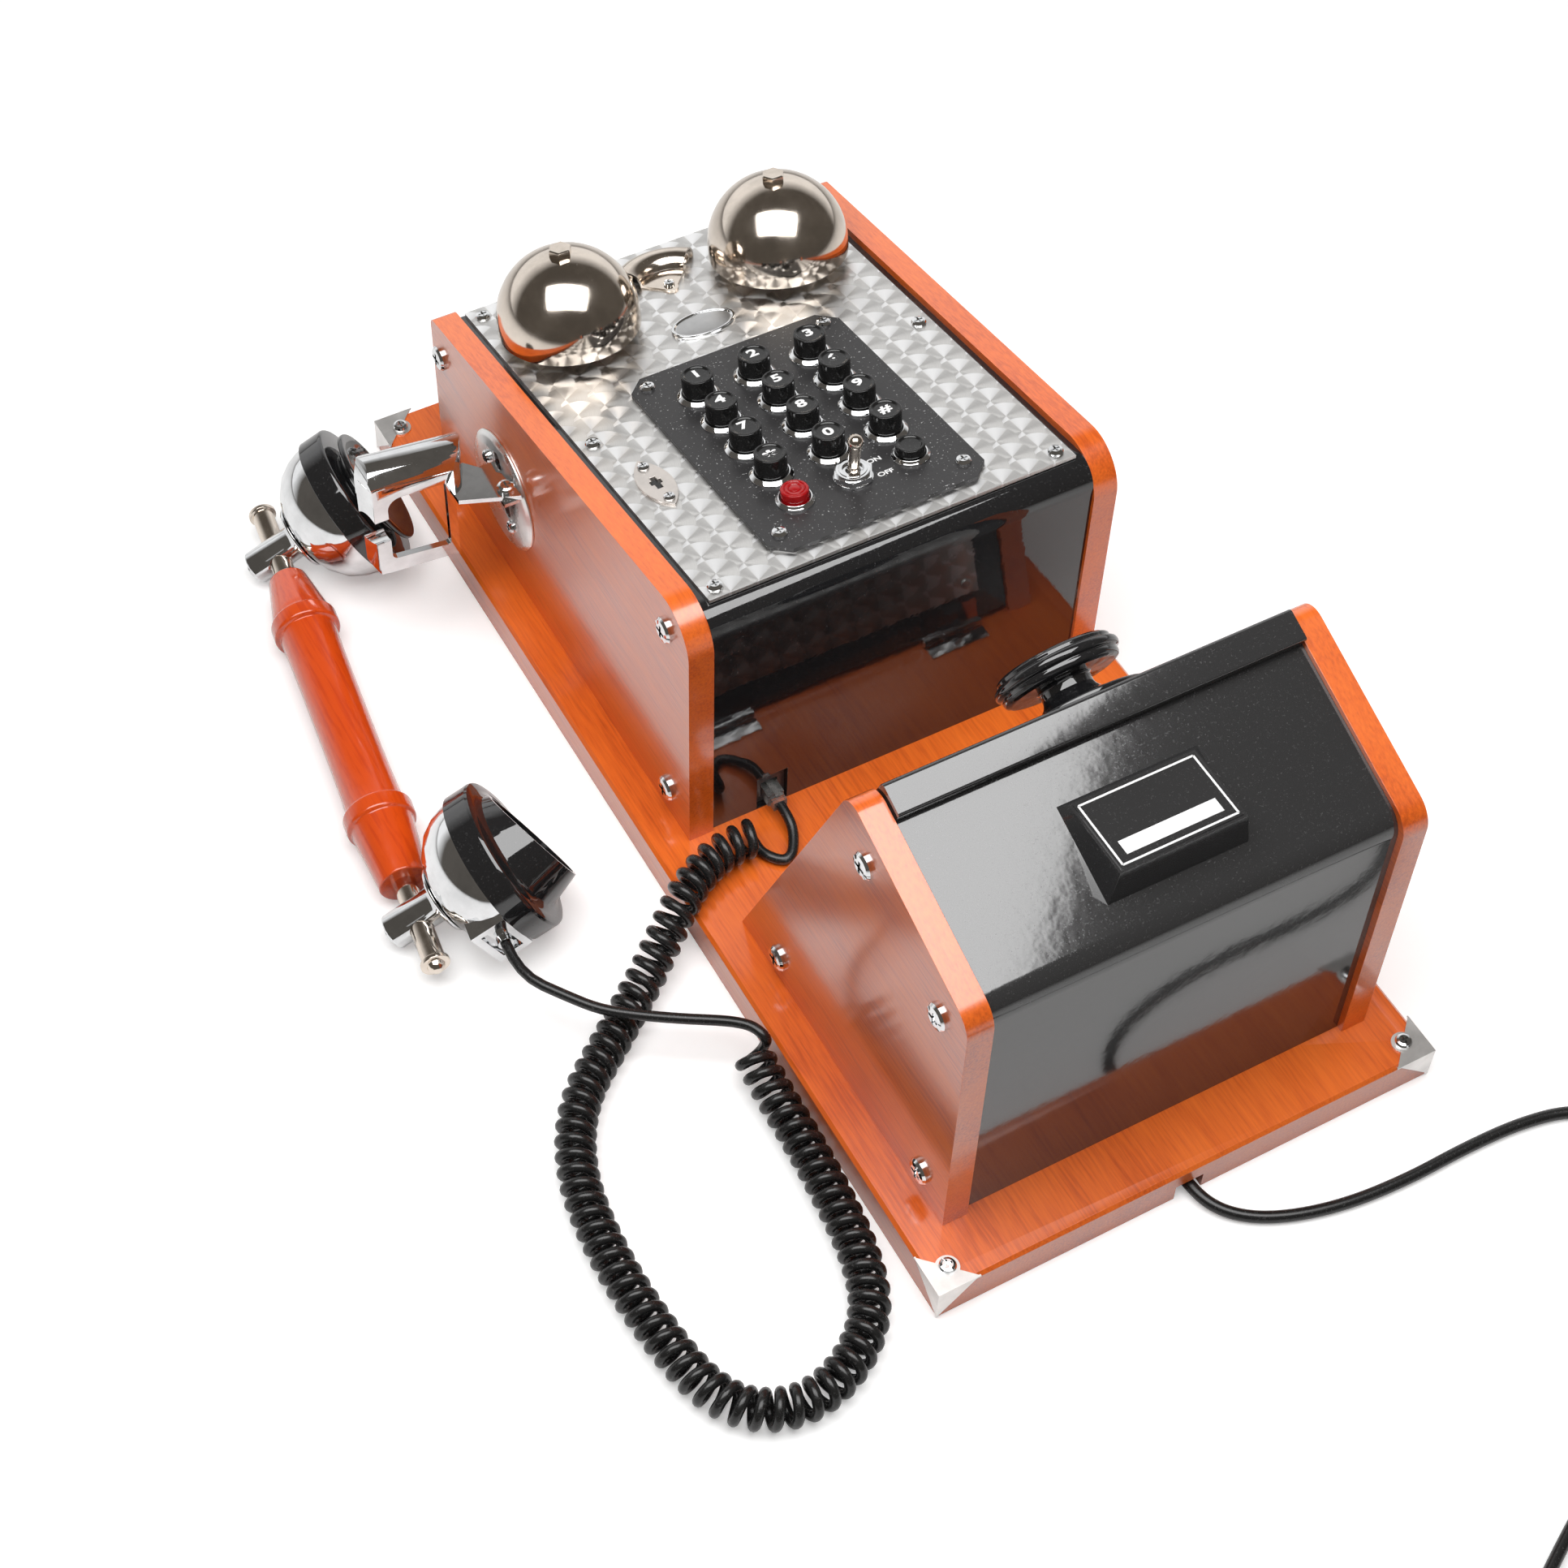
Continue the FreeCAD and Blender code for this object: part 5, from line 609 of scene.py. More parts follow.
def merged_copy(node: str, material: Material, edge: float = 0.3, body: Body = Body.BASE) -> Piece:
    """A welded copy of a CAD node with softened edges, which stands for the node.

    Args:
        node: the CAD node's name.
        material: the copy's finish.
        edge: width of the softened edges, in millimetres.
        body: the body that it rides on.

    Returns:
        The copy.
    """
    mesh = NODES[node].data.copy()
    mesh.name = node + "_soft"
    welded = bmesh.new()
    welded.from_mesh(mesh)
    bmesh.ops.remove_doubles(welded, verts=welded.verts, dist=1e-6)
    bmesh.ops.dissolve_limit(welded, angle_limit=math.radians(0.4), verts=welded.verts, edges=welded.edges)
    welded.to_mesh(mesh)
    welded.free()
    mesh.materials.clear()
    mesh.materials.append(material)
    piece = linked(node + "_soft", mesh)
    smooth(piece)
    if edge > 0:
        soften(piece, edge * MM)
    return stand_for(piece, node, body)


def slab(name: str, half_a: float, half_s: float, thick: float, placing: Placing,
         material: Material) -> Piece:
    """A thin rectangular plate on a face, its edges softened."""
    spots = [(a, s) for s in (-half_s, half_s) for a in (-half_a, half_a)]
    corners = [(a, s, n) for n in (0.0, thick) for a, s in spots]
    faces = [(0, 2, 3, 1), (4, 5, 7, 6), (0, 1, 5, 4), (1, 3, 7, 5), (3, 2, 6, 7), (2, 0, 4, 6)]
    piece = new_piece(name, placing.metres(np.array(corners)), faces, material)
    soften(piece, 0.3 * thick * MM, 2)
    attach(piece, Body.BASE)
    return piece


def dress(node: str, material: Material) -> None:
    """Give a CAD node a finish."""
    mesh = NODES[node].data
    mesh.materials.clear()
    mesh.materials.append(material)


@dataclass
class Print:
    """Flat printed lettering.

    Attributes:
        height: the text's height in millimetres.
        material: the print's finish.
        stretch: how much wider than the plain letters the print is.
        weight: how far the outline is thickened, as a share of the size.
    """

    height: float
    material: Material
    stretch: float = 1.0
    weight: float = 0.0

    def make(self, name: str, text: str, placing: Placing, body: str) -> Piece:
        """Print a text whose middle and axes are the placing's, on a body."""
        curve = bpy.data.curves.new(name, "FONT")
        curve.body = text
        curve.align_x = "CENTER"
        curve.align_y = "CENTER"
        curve.size = self.height * MM / CAPITAL_SHARE
        curve.offset = self.weight * curve.size
        curve.extrude = 0.02 * MM
        mesh = baked(curve)
        spots = corners_of(mesh)
        spots[:, :2] -= (spots[:, :2].min(axis=0) + spots[:, :2].max(axis=0)) / 2
        spots *= self.height * MM / np.ptp(spots[:, 1])
        spots[:, 0] *= self.stretch
        mesh.vertices.foreach_set("co", placing.metres(spots / MM).ravel())
        mesh.materials.clear()
        mesh.materials.append(self.material)
        mesh.update()
        piece = linked(name, mesh)
        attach(piece, body)
        return piece


# Camera, floor and light


@dataclass
class Studio:
    """The camera at the photograph's view, a pale floor and soft lamps."""

    lens: float = 66.68
    place: Point = (-0.445910, -0.686953, 1.022908)
    right: Point = (0.875082, -0.483432, 0.022902)
    upward: Point = (0.370591, 0.699756, 0.610741)
    backward: Point = (-0.311278, -0.525961, 0.791499)
    floor_half: float = 6.0
    seen_white: float = 0.30
    sweep: Colour = (0.95, 0.95, 0.95)
    room: Colour = (0.095, 0.086, 0.076)
    beyond: Point = (0.22, 0.80, -0.55)

    def build(self) -> None:
        """Make the camera, the floor, the lamps and the world."""
        self._camera()
        self._floor()
        self._lamp("softbox", (-0.235, -0.19, 1.39), (0.0, 0.18, 0.17), (1.62, 0.98), 25.0)
        fill = self._lamp("fill", (1.9, -0.9, 1.3), (0.0, -0.1, 0.05), (1.6, 1.6), 5.0)
        fill.visible_glossy = False
        self._world()
        bpy.context.scene.view_settings.view_transform = "Standard"

    def _camera(self) -> None:
        """Set the camera by its three axes."""
        data = bpy.data.cameras.new("photo_camera")
        data.lens = self.lens
        data.sensor_width = 36.0
        camera = linked("photo_camera", data)
        axes = Matrix([self.right, self.upward, self.backward]).transposed().to_4x4()
        camera.matrix_world = Matrix.Translation(self.place) @ axes
        bpy.context.scene.camera = camera

    def _floor(self) -> None:
        """A large pale plane just under the telephone."""
        half = self.floor_half
        spots = ((-half, -half), (half, -half), (half, half), (-half, half))
        corners = np.array([(x, y, -0.1 * MM) for x, y in spots])
        floor = new_piece("floor", corners, [(0, 1, 2, 3)], self._floor_paint())

    def _floor_paint(self) -> Material:
        """Matte white paper with faint fibres, whiter to the camera, and throwing less light back."""
        recipe = Recipe("paper_floor")
        fibres = recipe.noise(recipe.place(), 300.0, 3.0)
        path = recipe.add("LightPath")
        seen, bounced = path.outputs["Is Camera Ray"], path.outputs["Is Diffuse Ray"]
        shade = recipe.maths("SUBTRACT", fibres, bounced)
        tint = recipe.ramp(shade, ((0.0, (0.42,) * 3), (0.3, (0.86,) * 3), (0.7, (0.89,) * 3)))
        recipe.surface(Base_Color=tint, Roughness=0.9, Emission_Color=(1.0, 1.0, 1.0, 1.0),
                       Emission_Strength=recipe.maths("MULTIPLY", seen, self.seen_white))
        return recipe.material

    def _lamp(self, name: str, place: Point, target: Point, size: tuple[float, float],
              power: float) -> Piece:
        """A rectangular lamp aimed at a point, its long side along the picture."""
        data = bpy.data.lights.new(name, "AREA")
        data.shape = "RECTANGLE"
        data.size, data.size_y = size
        data.energy = power
        lamp = linked(name, data)
        back = (Vector(place) - Vector(target)).normalized()
        side = (Vector(self.right) - Vector(self.right).dot(back) * back).normalized()
        axes = Matrix([side, back.cross(side), back]).transposed().to_4x4()
        lamp.matrix_world = Matrix.Translation(place) @ axes
        return lamp

    def _world(self) -> None:
        """A white sweep beyond the telephone and a dim warm room behind the camera."""
        world = bpy.data.worlds.new("studio")
        bpy.context.scene.world = world
        world.use_nodes = True
        tree = NodeTree(world.node_tree)
        facing = tree.dot(tree.add("TexCoord").outputs["Generated"], self.beyond)
        surroundings = tree.ramp(facing, ((0.12, self.room), (0.46, self.sweep)))
        lit = tree.add("Background", {"Color": surroundings}).outputs[0]
        seen = tree.add("Background", {"Color": (1, 1, 1, 1)}).outputs[0]
        camera_ray = tree.add("LightPath").outputs["Is Camera Ray"]
        mixed = tree.add("MixShader", {"Fac": camera_ray, 1: lit, 2: seen}).outputs[0]
        tree.add("OutputWorld", {"Surface": mixed})


# Cords

LEAD_ROUTE = (
    (-185.0, -79.0, 25.2), (-176.0, -90.5, 24.6), (-163.0, -100.2, 24.2), (-149.0, -109.4, 24.0),
    (-136.0, -117.2, 24.0), (-129.6, -121.6, 24.0), (-124.4, -126.8, 24.2), (-122.1, -134.3, 23.5),
)
CURL_ROUTE = (
    (-128.6, -132.0, 15.4), (-128.2, -150.0, 10.0), (-128.2, -167.0, 9.0), (-128.8, -185.0, 9.0),
    (-130.2, -203.0, 9.0), (-131.8, -220.0, 9.0), (-134.8, -236.0, 9.0), (-139.5, -250.0, 9.0),
    (-147.5, -261.0, 9.0), (-158.5, -269.5, 9.0), (-171.5, -275.2, 9.0), (-185.5, -276.4, 9.0),
    (-198.5, -272.0, 9.0), (-207.8, -263.5, 9.0), (-213.8, -251.5, 9.0), (-217.0, -237.0, 9.0),
    (-219.0, -221.0, 9.0), (-220.2, -205.0, 9.0), (-220.4, -188.0, 9.0), (-219.4, -170.0, 9.0),
    (-216.8, -153.0, 9.0), (-212.0, -138.5, 9.0), (-205.5, -126.0, 9.0), (-197.5, -115.5, 9.0),
    (-188.5, -107.3, 9.0), (-178.7, -100.0, 9.0), (-168.5, -92.0, 9.0), (-158.2, -84.0, 9.4),
    (-149.0, -77.5, 11.4), (-140.5, -71.5, 15.2), (-132.5, -66.0, 20.0), (-124.5, -60.5, 24.6),
    (-114.5, -53.5, 26.9), (-102.5, -47.0, 27.3), (-90.0, -44.2, 27.6), (-78.5, -44.6, 27.8),
)
TAIL_ROUTE = (
    (-78.1, -48.4, 20.6), (-75.4, -53.4, 20.7), (-71.6, -57.4, 20.8), (-67.2, -56.2, 21.2),
    (-63.8, -51.4, 22.0), (-61.0, -45.4, 23.4), (-60.5, -39.5, 25.3), (-60.5, -33.5, 25.5),
)
LINE_ROUTE = (
    (-0.5, -209.0, 26.0), (-0.5, -209.0, 4.4), (0.1, -234.0, 4.6),
    (-0.3, -262.0, 4.2), (3.2, -277.0, 3.4), (14.0, -288.0, 2.9),
    (31.0, -296.0, 2.9), (54.0, -301.5, 2.9), (82.0, -303.5, 2.9), (110.0, -302.8, 2.9),
    (137.0, -304.0, 2.9), (160.0, -309.0, 2.9), (178.0, -323.0, 2.9), (186.0, -345.0, 2.9),
    (182.0, -370.0, 2.9), (168.0, -392.0, 2.9), (147.0, -409.0, 2.9), (122.0, -421.5, 2.9),
    (96.0, -431.0, 2.9), (70.0, -441.5, 2.9), (48.0, -452.0, 3.4), (30.0, -461.5, 5.4),
    (14.0, -470.5, 8.4), (2.0, -477.5, 10.2),
)


def spline(name: str, points: np.ndarray, radius: float = 0.0) -> bpy.types.Curve:
    """One open NURBS spline on control points in metres, round if it has a radius in metres."""
    curve = bpy.data.curves.new(name, "CURVE")
    curve.dimensions = "3D"
    curve.bevel_depth = radius
    curve.bevel_resolution = 4
    curve.use_fill_caps = radius > 0
    line = curve.splines.new("NURBS")
    line.points.add(len(points) - 1)
    line.points.foreach_set("co", np.column_stack([points, np.ones(len(points))]).ravel())
    line.order_u = 3
    line.use_endpoint_u = True
    line.resolution_u = 4 if len(points) > 200 else 10
    return curve


def route_line(points: np.ndarray) -> np.ndarray:
    """Points along a route's NURBS spline, in metres."""
    return corners_of(baked(spline("route", points)))


def evenly(line: np.ndarray, count: int) -> tuple[np.ndarray, np.ndarray, float]:
    """Points at equal steps along a line, the directions there, and the line's length."""
    steps = np.linalg.norm(np.diff(line, axis=0), axis=1)
    travelled = np.concatenate([[0.0], np.cumsum(steps)])
    wanted = np.linspace(0, travelled[-1], count)
    points = np.column_stack([np.interp(wanted, travelled, line[:, axis]) for axis in range(3)])
    directions = np.gradient(points, axis=0)
    directions /= np.linalg.norm(directions, axis=1)[:, None]
    return points, directions, float(travelled[-1])


@dataclass
class HandsetCord:
    """The curly handset cord: a plain lead from the handset's mouth end, the curls, and a plain tail.

    Along give_along, only the lead's start comes before all the curls.
    """

    wire_radius: float = 2.3
    curl_radius: float = 6.4
    turns: float = 73.22
    steps_per_turn: int = 12
    give: float = 28.0
    give_along: Point = (0.426, -0.323, -0.845)

    def build(self, material: Material) -> Piece:
        mouth = handset_placing(0.0)
        exit_point = np.array(mouth.point(-34.9, -3.0, 31.0))
        away = np.array(mouth.point(-51.0, -3.0, 31.0))
        lead = np.vstack([exit_point, away, np.array(LEAD_ROUTE)]) * MM
        points = np.vstack([lead, self._curls(), np.array(TAIL_ROUTE) * MM])
        mesh = baked(spline("handset_cord", points, self.wire_radius * MM))
        mesh.materials.append(material)
        cord = linked("handset_cord", mesh)
        smooth(cord, 60.0)
        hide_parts("handset_cord_lead", "handset_cord_curls", "handset_cord_tail")
        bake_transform(cord)
        line = route_line(points)
        return cord

    def _curls(self) -> np.ndarray:
        """The helix: the route plus the curl radius times cosine up and minus sine sideways of the turn angle.

        A quadratic spline runs inside its control points, so they stand a little further out.
        """
        line = route_line(np.array(CURL_ROUTE) * MM)
        count = round(self.turns * self.steps_per_turn) + 1
        points, along, _ = evenly(line, count)
        side = np.cross(along, (0.0, 0.0, 1.0))
        side /= np.linalg.norm(side, axis=1)[:, None]
        up = np.cross(side, along)
        angle = np.linspace(0, 2 * np.pi * self.turns, count)[:, None] + np.pi / 2
        step = np.pi / self.steps_per_turn
        radius = self.curl_radius * MM / (0.5 + 0.5 * math.cos(step) ** 2)
        return points + radius * (np.cos(angle) * up - np.sin(angle) * side)


def length_of(line: np.ndarray) -> float:
    """The length of a line of points."""
    return float(np.linalg.norm(np.diff(line, axis=0), axis=1).sum())


@dataclass
class LineCord:
    """The line cord: out of the board's notch, along the floor, and into a tied coil with its plug."""

    radius: float = 2.6
    coil_place: tuple[float, float] = (-10.0, -520.0)
    mid_radius: float = 29.0
    side_step: float = 6.8
    layer_step: float = 5.8
    low: float = 4.4
    layer_turns: int = 4
    steps_per_turn: int = 16
    end_run: float = 26.0

    def build(self, material: Material, tie_finish: Material) -> Piece:
        tie = merged_copy("coil_tie", tie_finish, 0.2)
        points = np.vstack([np.array(LINE_ROUTE), self._coil()]) * MM
        cord = linked("line_cord_run", spline("line_cord_run", points, self.radius * MM))
        cord.data.materials.append(material)
        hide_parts("line_cord", "line_cord_coil")
        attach(cord, Body.BASE)
        length = length_of(route_line(points))
        LOG.info("line cord, %.2f m", length)
        return cord

    def _coil(self) -> np.ndarray:
        """In along the top layer at a steady rate, down in half a turn, and out along the lower one."""
        outer = self.mid_radius + self.side_step * self.layer_turns / 2
        inner = outer - self.side_step * self.layer_turns
        turn = np.arange(0, 2 * self.layer_turns + 0.5 + 1e-6, 1 / self.steps_per_turn)
        down = turn - self.layer_turns
        ease = 0.5 - 0.5 * np.cos(2 * np.pi * np.clip(down, 0, 0.5))
        outward = inner + self.side_step * np.maximum(down - 0.5, 0)
        radius = np.where(down < 0, outer - self.side_step * turn, outward)
        height = self.low + self.layer_step * (1 - ease)
        angle = np.pi / 2 + 2 * np.pi * turn
        across = self.coil_place[0] + radius * np.cos(angle)
        upward = self.coil_place[1] + radius * np.sin(angle)
        coil = np.column_stack([across, upward, height])
        east = np.array(((1.0, 0.0, 0.0),))
        return np.vstack([coil[:1] + 2 * self.radius * east, coil, coil[-1:] + self.end_run * east])


# The telephone


class Finishes:
    """Every finish, made once."""

    def __init__(self) -> None:
        """Make the finishes."""
        self.wood = StainedWood().make()
        self.handle = Lacquer().make()
        self.gloss = Plastic("gloss_black", (0.012, 0.012, 0.013), 0.04, ior=1.8).make()
        self.slope = Plastic("slope_black", (0.030, 0.030, 0.031), 0.08, ior=1.9).make()
        self.key = Plastic("key_black", (0.010, 0.010, 0.010), 0.14).make()
        self.pad = SpeckledPad().make()
        self.cord = Plastic("cord_black", (0.014, 0.014, 0.014), 0.26).make()
        self.nickel = Plating("warm_nickel", (0.82, 0.73, 0.64), 0.10, 0.08).make()
        self.chrome = Plating("chrome", (0.86, 0.87, 0.88), 0.04, 0.05).make()
        self.zinc = Plating("zinc", (0.90, 0.88, 0.86), 0.36, 0.10).make()
        self.satin = Plating("satin_nickel", (0.94, 0.88, 0.83), 0.36, 0.10).make()
        self.silver = Plating("silver_print", (0.82, 0.82, 0.81), 0.26, 0.1).make()
        self.lens = Clear("red_lens", (0.90, 0.015, 0.020), 0.06, 0.60).make()
        self.clear = Clear("clear_plastic", (0.9, 0.9, 0.88), 0.06, 0.92).make()
        self.badge = Plating("badge_face", (0.62, 0.62, 0.62), 0.30, 0.1).make()
        self.white = Paint("white_print", (0.88, 0.88, 0.88)).make()
        self.board = Plastic("board_green", (0.02, 0.12, 0.05), 0.35).make()
        self.front_steel = TurnedSteel("turned_steel", FRONT).make()
        self.lid_steel = TurnedSteel("turned_steel_lid", LID).make()

    def of_slot(self, slot: str) -> Material:
        """The finish of one of the record's material slots."""
        return {"stained_wood": self.wood, "gloss_black": self.gloss, "matte_black": self.pad,
                "turned_steel": self.front_steel, "nickel": self.nickel, "chrome": self.chrome,
                "red_lens": self.lens, "board_green": self.board, "coil_iron": self.zinc,
                "clear_plastic": self.clear, "red_lacquer": self.handle, "cord_black": self.cord}[slot]


def arc_points(radius: float, centre: float, start: float, end: float, steps: int) -> list[tuple[float, float]]:
    """Profile points of a ball's arc: radius times cosine out, centre plus radius times sine up."""
    angles = np.radians(np.linspace(start, end, steps))
    return [(radius * math.cos(angle), centre + radius * math.sin(angle)) for angle in angles]


def hexagon_nut(name: str, flats: float, low: float, high: float, placing: Placing,
                material: Material) -> Piece:
    """A hexagon nut with a chamfered top, turned in six steps."""
    corner = flats / math.sqrt(3)
    chamfer = 0.08 * flats
    profile = ((0, low), (corner, low), (corner, high - 0.5 * chamfer), (corner - chamfer, high), (0, high))
    nut = turned_piece(name, profile, placing, material, 6, 10.0)
    soften(nut, 0.12 * MM, 2)
    return nut


@dataclass
class Bells:
    """The two gongs on their posts, each under a hexagon nut."""

    across: float = 52.8
    up: float = 208.4
    radius: float = 32.0
    wall: float = 2.0
    rim: float = 3.0
    centre: float = 8.0
    post: float = 3.4
    post_low: float = -12.0
    foot: float = 7.0
    nut_flats: float = 9.2
    nut_height: float = 3.4

    def build(self, finish: Material) -> None:
        """Make both bells at their places on the front plate."""
        crown = self.centre + self.radius
        for name, side in (("left", -1), ("right", 1)):
            spot = FRONT.moved(side * self.across, self.up, 0)
            high = crown + self.nut_height
            nut = hexagon_nut("bell_nut_" + name, self.nut_flats, crown - 0.3, high, spot, finish)
            gong = self._gong("bell_" + name, spot, finish)
            post = self._post("bell_post_" + name, spot, finish)
            for piece in (gong, post, nut):
                stand_for(piece, "bells")

    def _gong(self, name: str, spot: Placing, finish: Material) -> Piece:
        """A half ball on a short skirt: down the inside, round the rim and up the outside."""
        inside = self.radius - self.wall
        profile = arc_points(inside, self.centre, 90, 0, 24)
        profile += [(inside, self.rim + 0.4), (inside + 0.4, self.rim), (self.radius - 0.5, self.rim)]
        profile += [(self.radius, self.rim + 0.5)] + arc_points(self.radius, self.centre, 0, 90, 40)
        return turned_piece(name, profile, spot, finish, 160)

    def _post(self, name: str, spot: Placing, finish: Material) -> Piece:
        """The post with its foot, up to the gong."""
        seat = self.centre + self.radius - self.wall
        low, post, foot = self.post_low, self.post, self.foot
        points = [(0, low, 0), (post, low, 0.4), (post, -2.0, 0), (foot, -2.0, 0.1),
                  (foot, 0.5, 0.5), (post, 1.5, 0.5), (post, seat, 0.1), (0, seat, 0)]
        return rounded_piece(name, points, spot, finish, 48)


@dataclass
class Keypad:
    """The keys with their digits, the rings, the recall button, the lamp and the toggle switch."""

    columns: tuple[float, float, float] = (-27.5, 0.0, 27.5)
    rows: tuple[float, float, float, float] = (133.2, 111.4, 89.8, 67.8)
    low_row: float = 47.5
    marks: tuple[str, ...] = ("1", "2", "3", "4", "5", "6", "7", "8", "9", "*", "0", "#")
    key_radius: float = 7.0
    key_top: float = 11.4
    key_low: float = 2.2
    stem_radius: float = 4.0
    stem_low: float = -14.0
    dish: float = 0.6
    slide_gap: float = 0.4
    ring_radius: float = 9.6
    small_ring_radius: float = 8.4
    ring_height: float = 2.2
    recall_radius: float = 6.3
    recall_top: float = 6.2
    lens_radius: float = 6.0
    lens_top: float = 6.6
    socket_radius: float = 4.0
    socket_low: float = -16.0
    digit_height: float = 5.3
    digit_lift: float = 1.3
    toggle_pivot: float = 1.6
    toggle_lean: float = 10.5
    toggle_length: float = 22.4
    toggle_stem: float = 2.6
    toggle_tip: float = 3.4

    def build(self, finishes: Finishes) -> None:
        """Make every piece on the keypad plate."""
        digits = Print(self.digit_height, finishes.white, 1.32, 0.035)
        for index, mark in enumerate(self.marks):
            spot = FRONT.moved(self.columns[index % 3], self.rows[index // 3], 0)
            key = "key_" + {"*": "star", "#": "hash"}.get(mark, mark)
            cap = self._button(key + "_cap", self.key_radius, self.key_top, spot, finishes.key)
            stand_for(cap, key, key)
            lift = self.digit_lift if mark in "123456789" else 0.0
            digits.make(key + "_mark", mark, spot.moved(0, lift, self.key_top - self.dish + 0.06), key)
            self._ring(key + "_ring", self.key_radius + self.slide_gap, self.ring_radius, spot, finishes.chrome)
        recall = FRONT.moved(self.columns[2], self.low_row, 0)
        lamp = FRONT.moved(self.columns[0], self.low_row, 0)
        for name, spot in (("recall", recall), ("lamp", lamp)):
            inner = self.recall_radius + self.slide_gap
            self._ring(name + "_ring", inner, self.small_ring_radius, spot, finishes.chrome)
        cap = self._button("recall_cap", self.recall_radius, self.recall_top, recall, finishes.key)
        stand_for(cap, "recall_button", Body.RECALL)
        self._lens(lamp, finishes.lens)
        merged_copy("toggle_switch", finishes.chrome, 0.2)
        self._toggle(finishes.nickel)
        merged_copy("keypad_plate", finishes.pad, 0.3)
        words = Print(2.8, finishes.white, 1.15, 0.03)
        for word, level in (("ON", 52.9), ("OFF", 42.9)):
            words.make("toggle_" + word.lower(), word, FRONT.moved(12.8, level, 0.06), Body.BASE)

    def _button(self, name: str, radius: float, top: float, spot: Placing,
                finish: Material) -> Piece:
        """A cap with a dished top on its stem."""
        floor, low, stem = top - self.dish, self.stem_low, self.stem_radius
        points = [(0, low, 0), (stem, low, 0.3), (stem, self.key_low, 0), (radius, self.key_low, 0.2),
                  (radius, top, 0.9), (radius - 1.1, top, 0.3), (radius - 1.9, floor, 0.4), (0, floor, 0)]
        return rounded_piece(name, points, spot, finish, 72)

    def _ring(self, name: str, inner: float, outer: float, spot: Placing, finish: Material) -> None:
        """A flared ring round a button."""
        top = self.ring_height
        points = [(inner, 0.0, 0), (outer, 0.0, 0.05), (outer, 0.7, 0.3), (outer - 0.5, 1.2, 0.3),
                  (inner + 0.5, top, 0.3), (inner, top - 0.1, 0.1), (inner, 0.2, 0)]
        piece = rounded_piece(name, points, spot, finish, 72, looped=True)
        stand_for(piece, "key_bezels")

    def _lens(self, spot: Placing, finish: Material) -> None:
        """The ringed lens on its socket."""
        edge, radius = self.lens_top - 0.5, self.lens_radius
        low, socket = self.socket_low, self.socket_radius
        points = [(0, low, 0), (socket, low, 0.3), (socket, 0, 0), (radius, 0, 0.1), (radius, edge, 0.7)]
        for outer in (0.80, 0.50):
            points += [(outer * radius, edge + 0.1, 0.15), (outer * radius - 0.4, edge - 0.4, 0.15),
                       (outer * radius - 0.8, edge + 0.2, 0.15)]
        points.append((0, self.lens_top, 0))
        stand_for(rounded_piece("lamp_lens", points, spot, finish, 72, 4, smooth_below=60.0), "ringer_lamp")

    def _toggle(self, finish: Material) -> None:
        """The bat lever: a stem that ends in a ball."""
        tip, ball, stem = self.toggle_length, self.toggle_tip, self.toggle_stem
        profile = [(0, -0.8), (0.8, -0.6), (1.1, 0), (stem - 0.2, 1.6), (stem - 0.1, 3.0), (stem - 0.15, 8.0),
                   (stem, tip - 2.4 * ball), (0.90 * ball, tip - 1.6 * ball)]
        profile += arc_points(ball, tip - ball, -25, 90, 12)
        spot = FRONT.moved(self.columns[1], self.low_row, self.toggle_pivot).leaning(self.toggle_lean)
        stand_for(turned_piece("toggle_bat", profile, spot, finish, 64, 60.0), "toggle_lever", Body.TOGGLE)


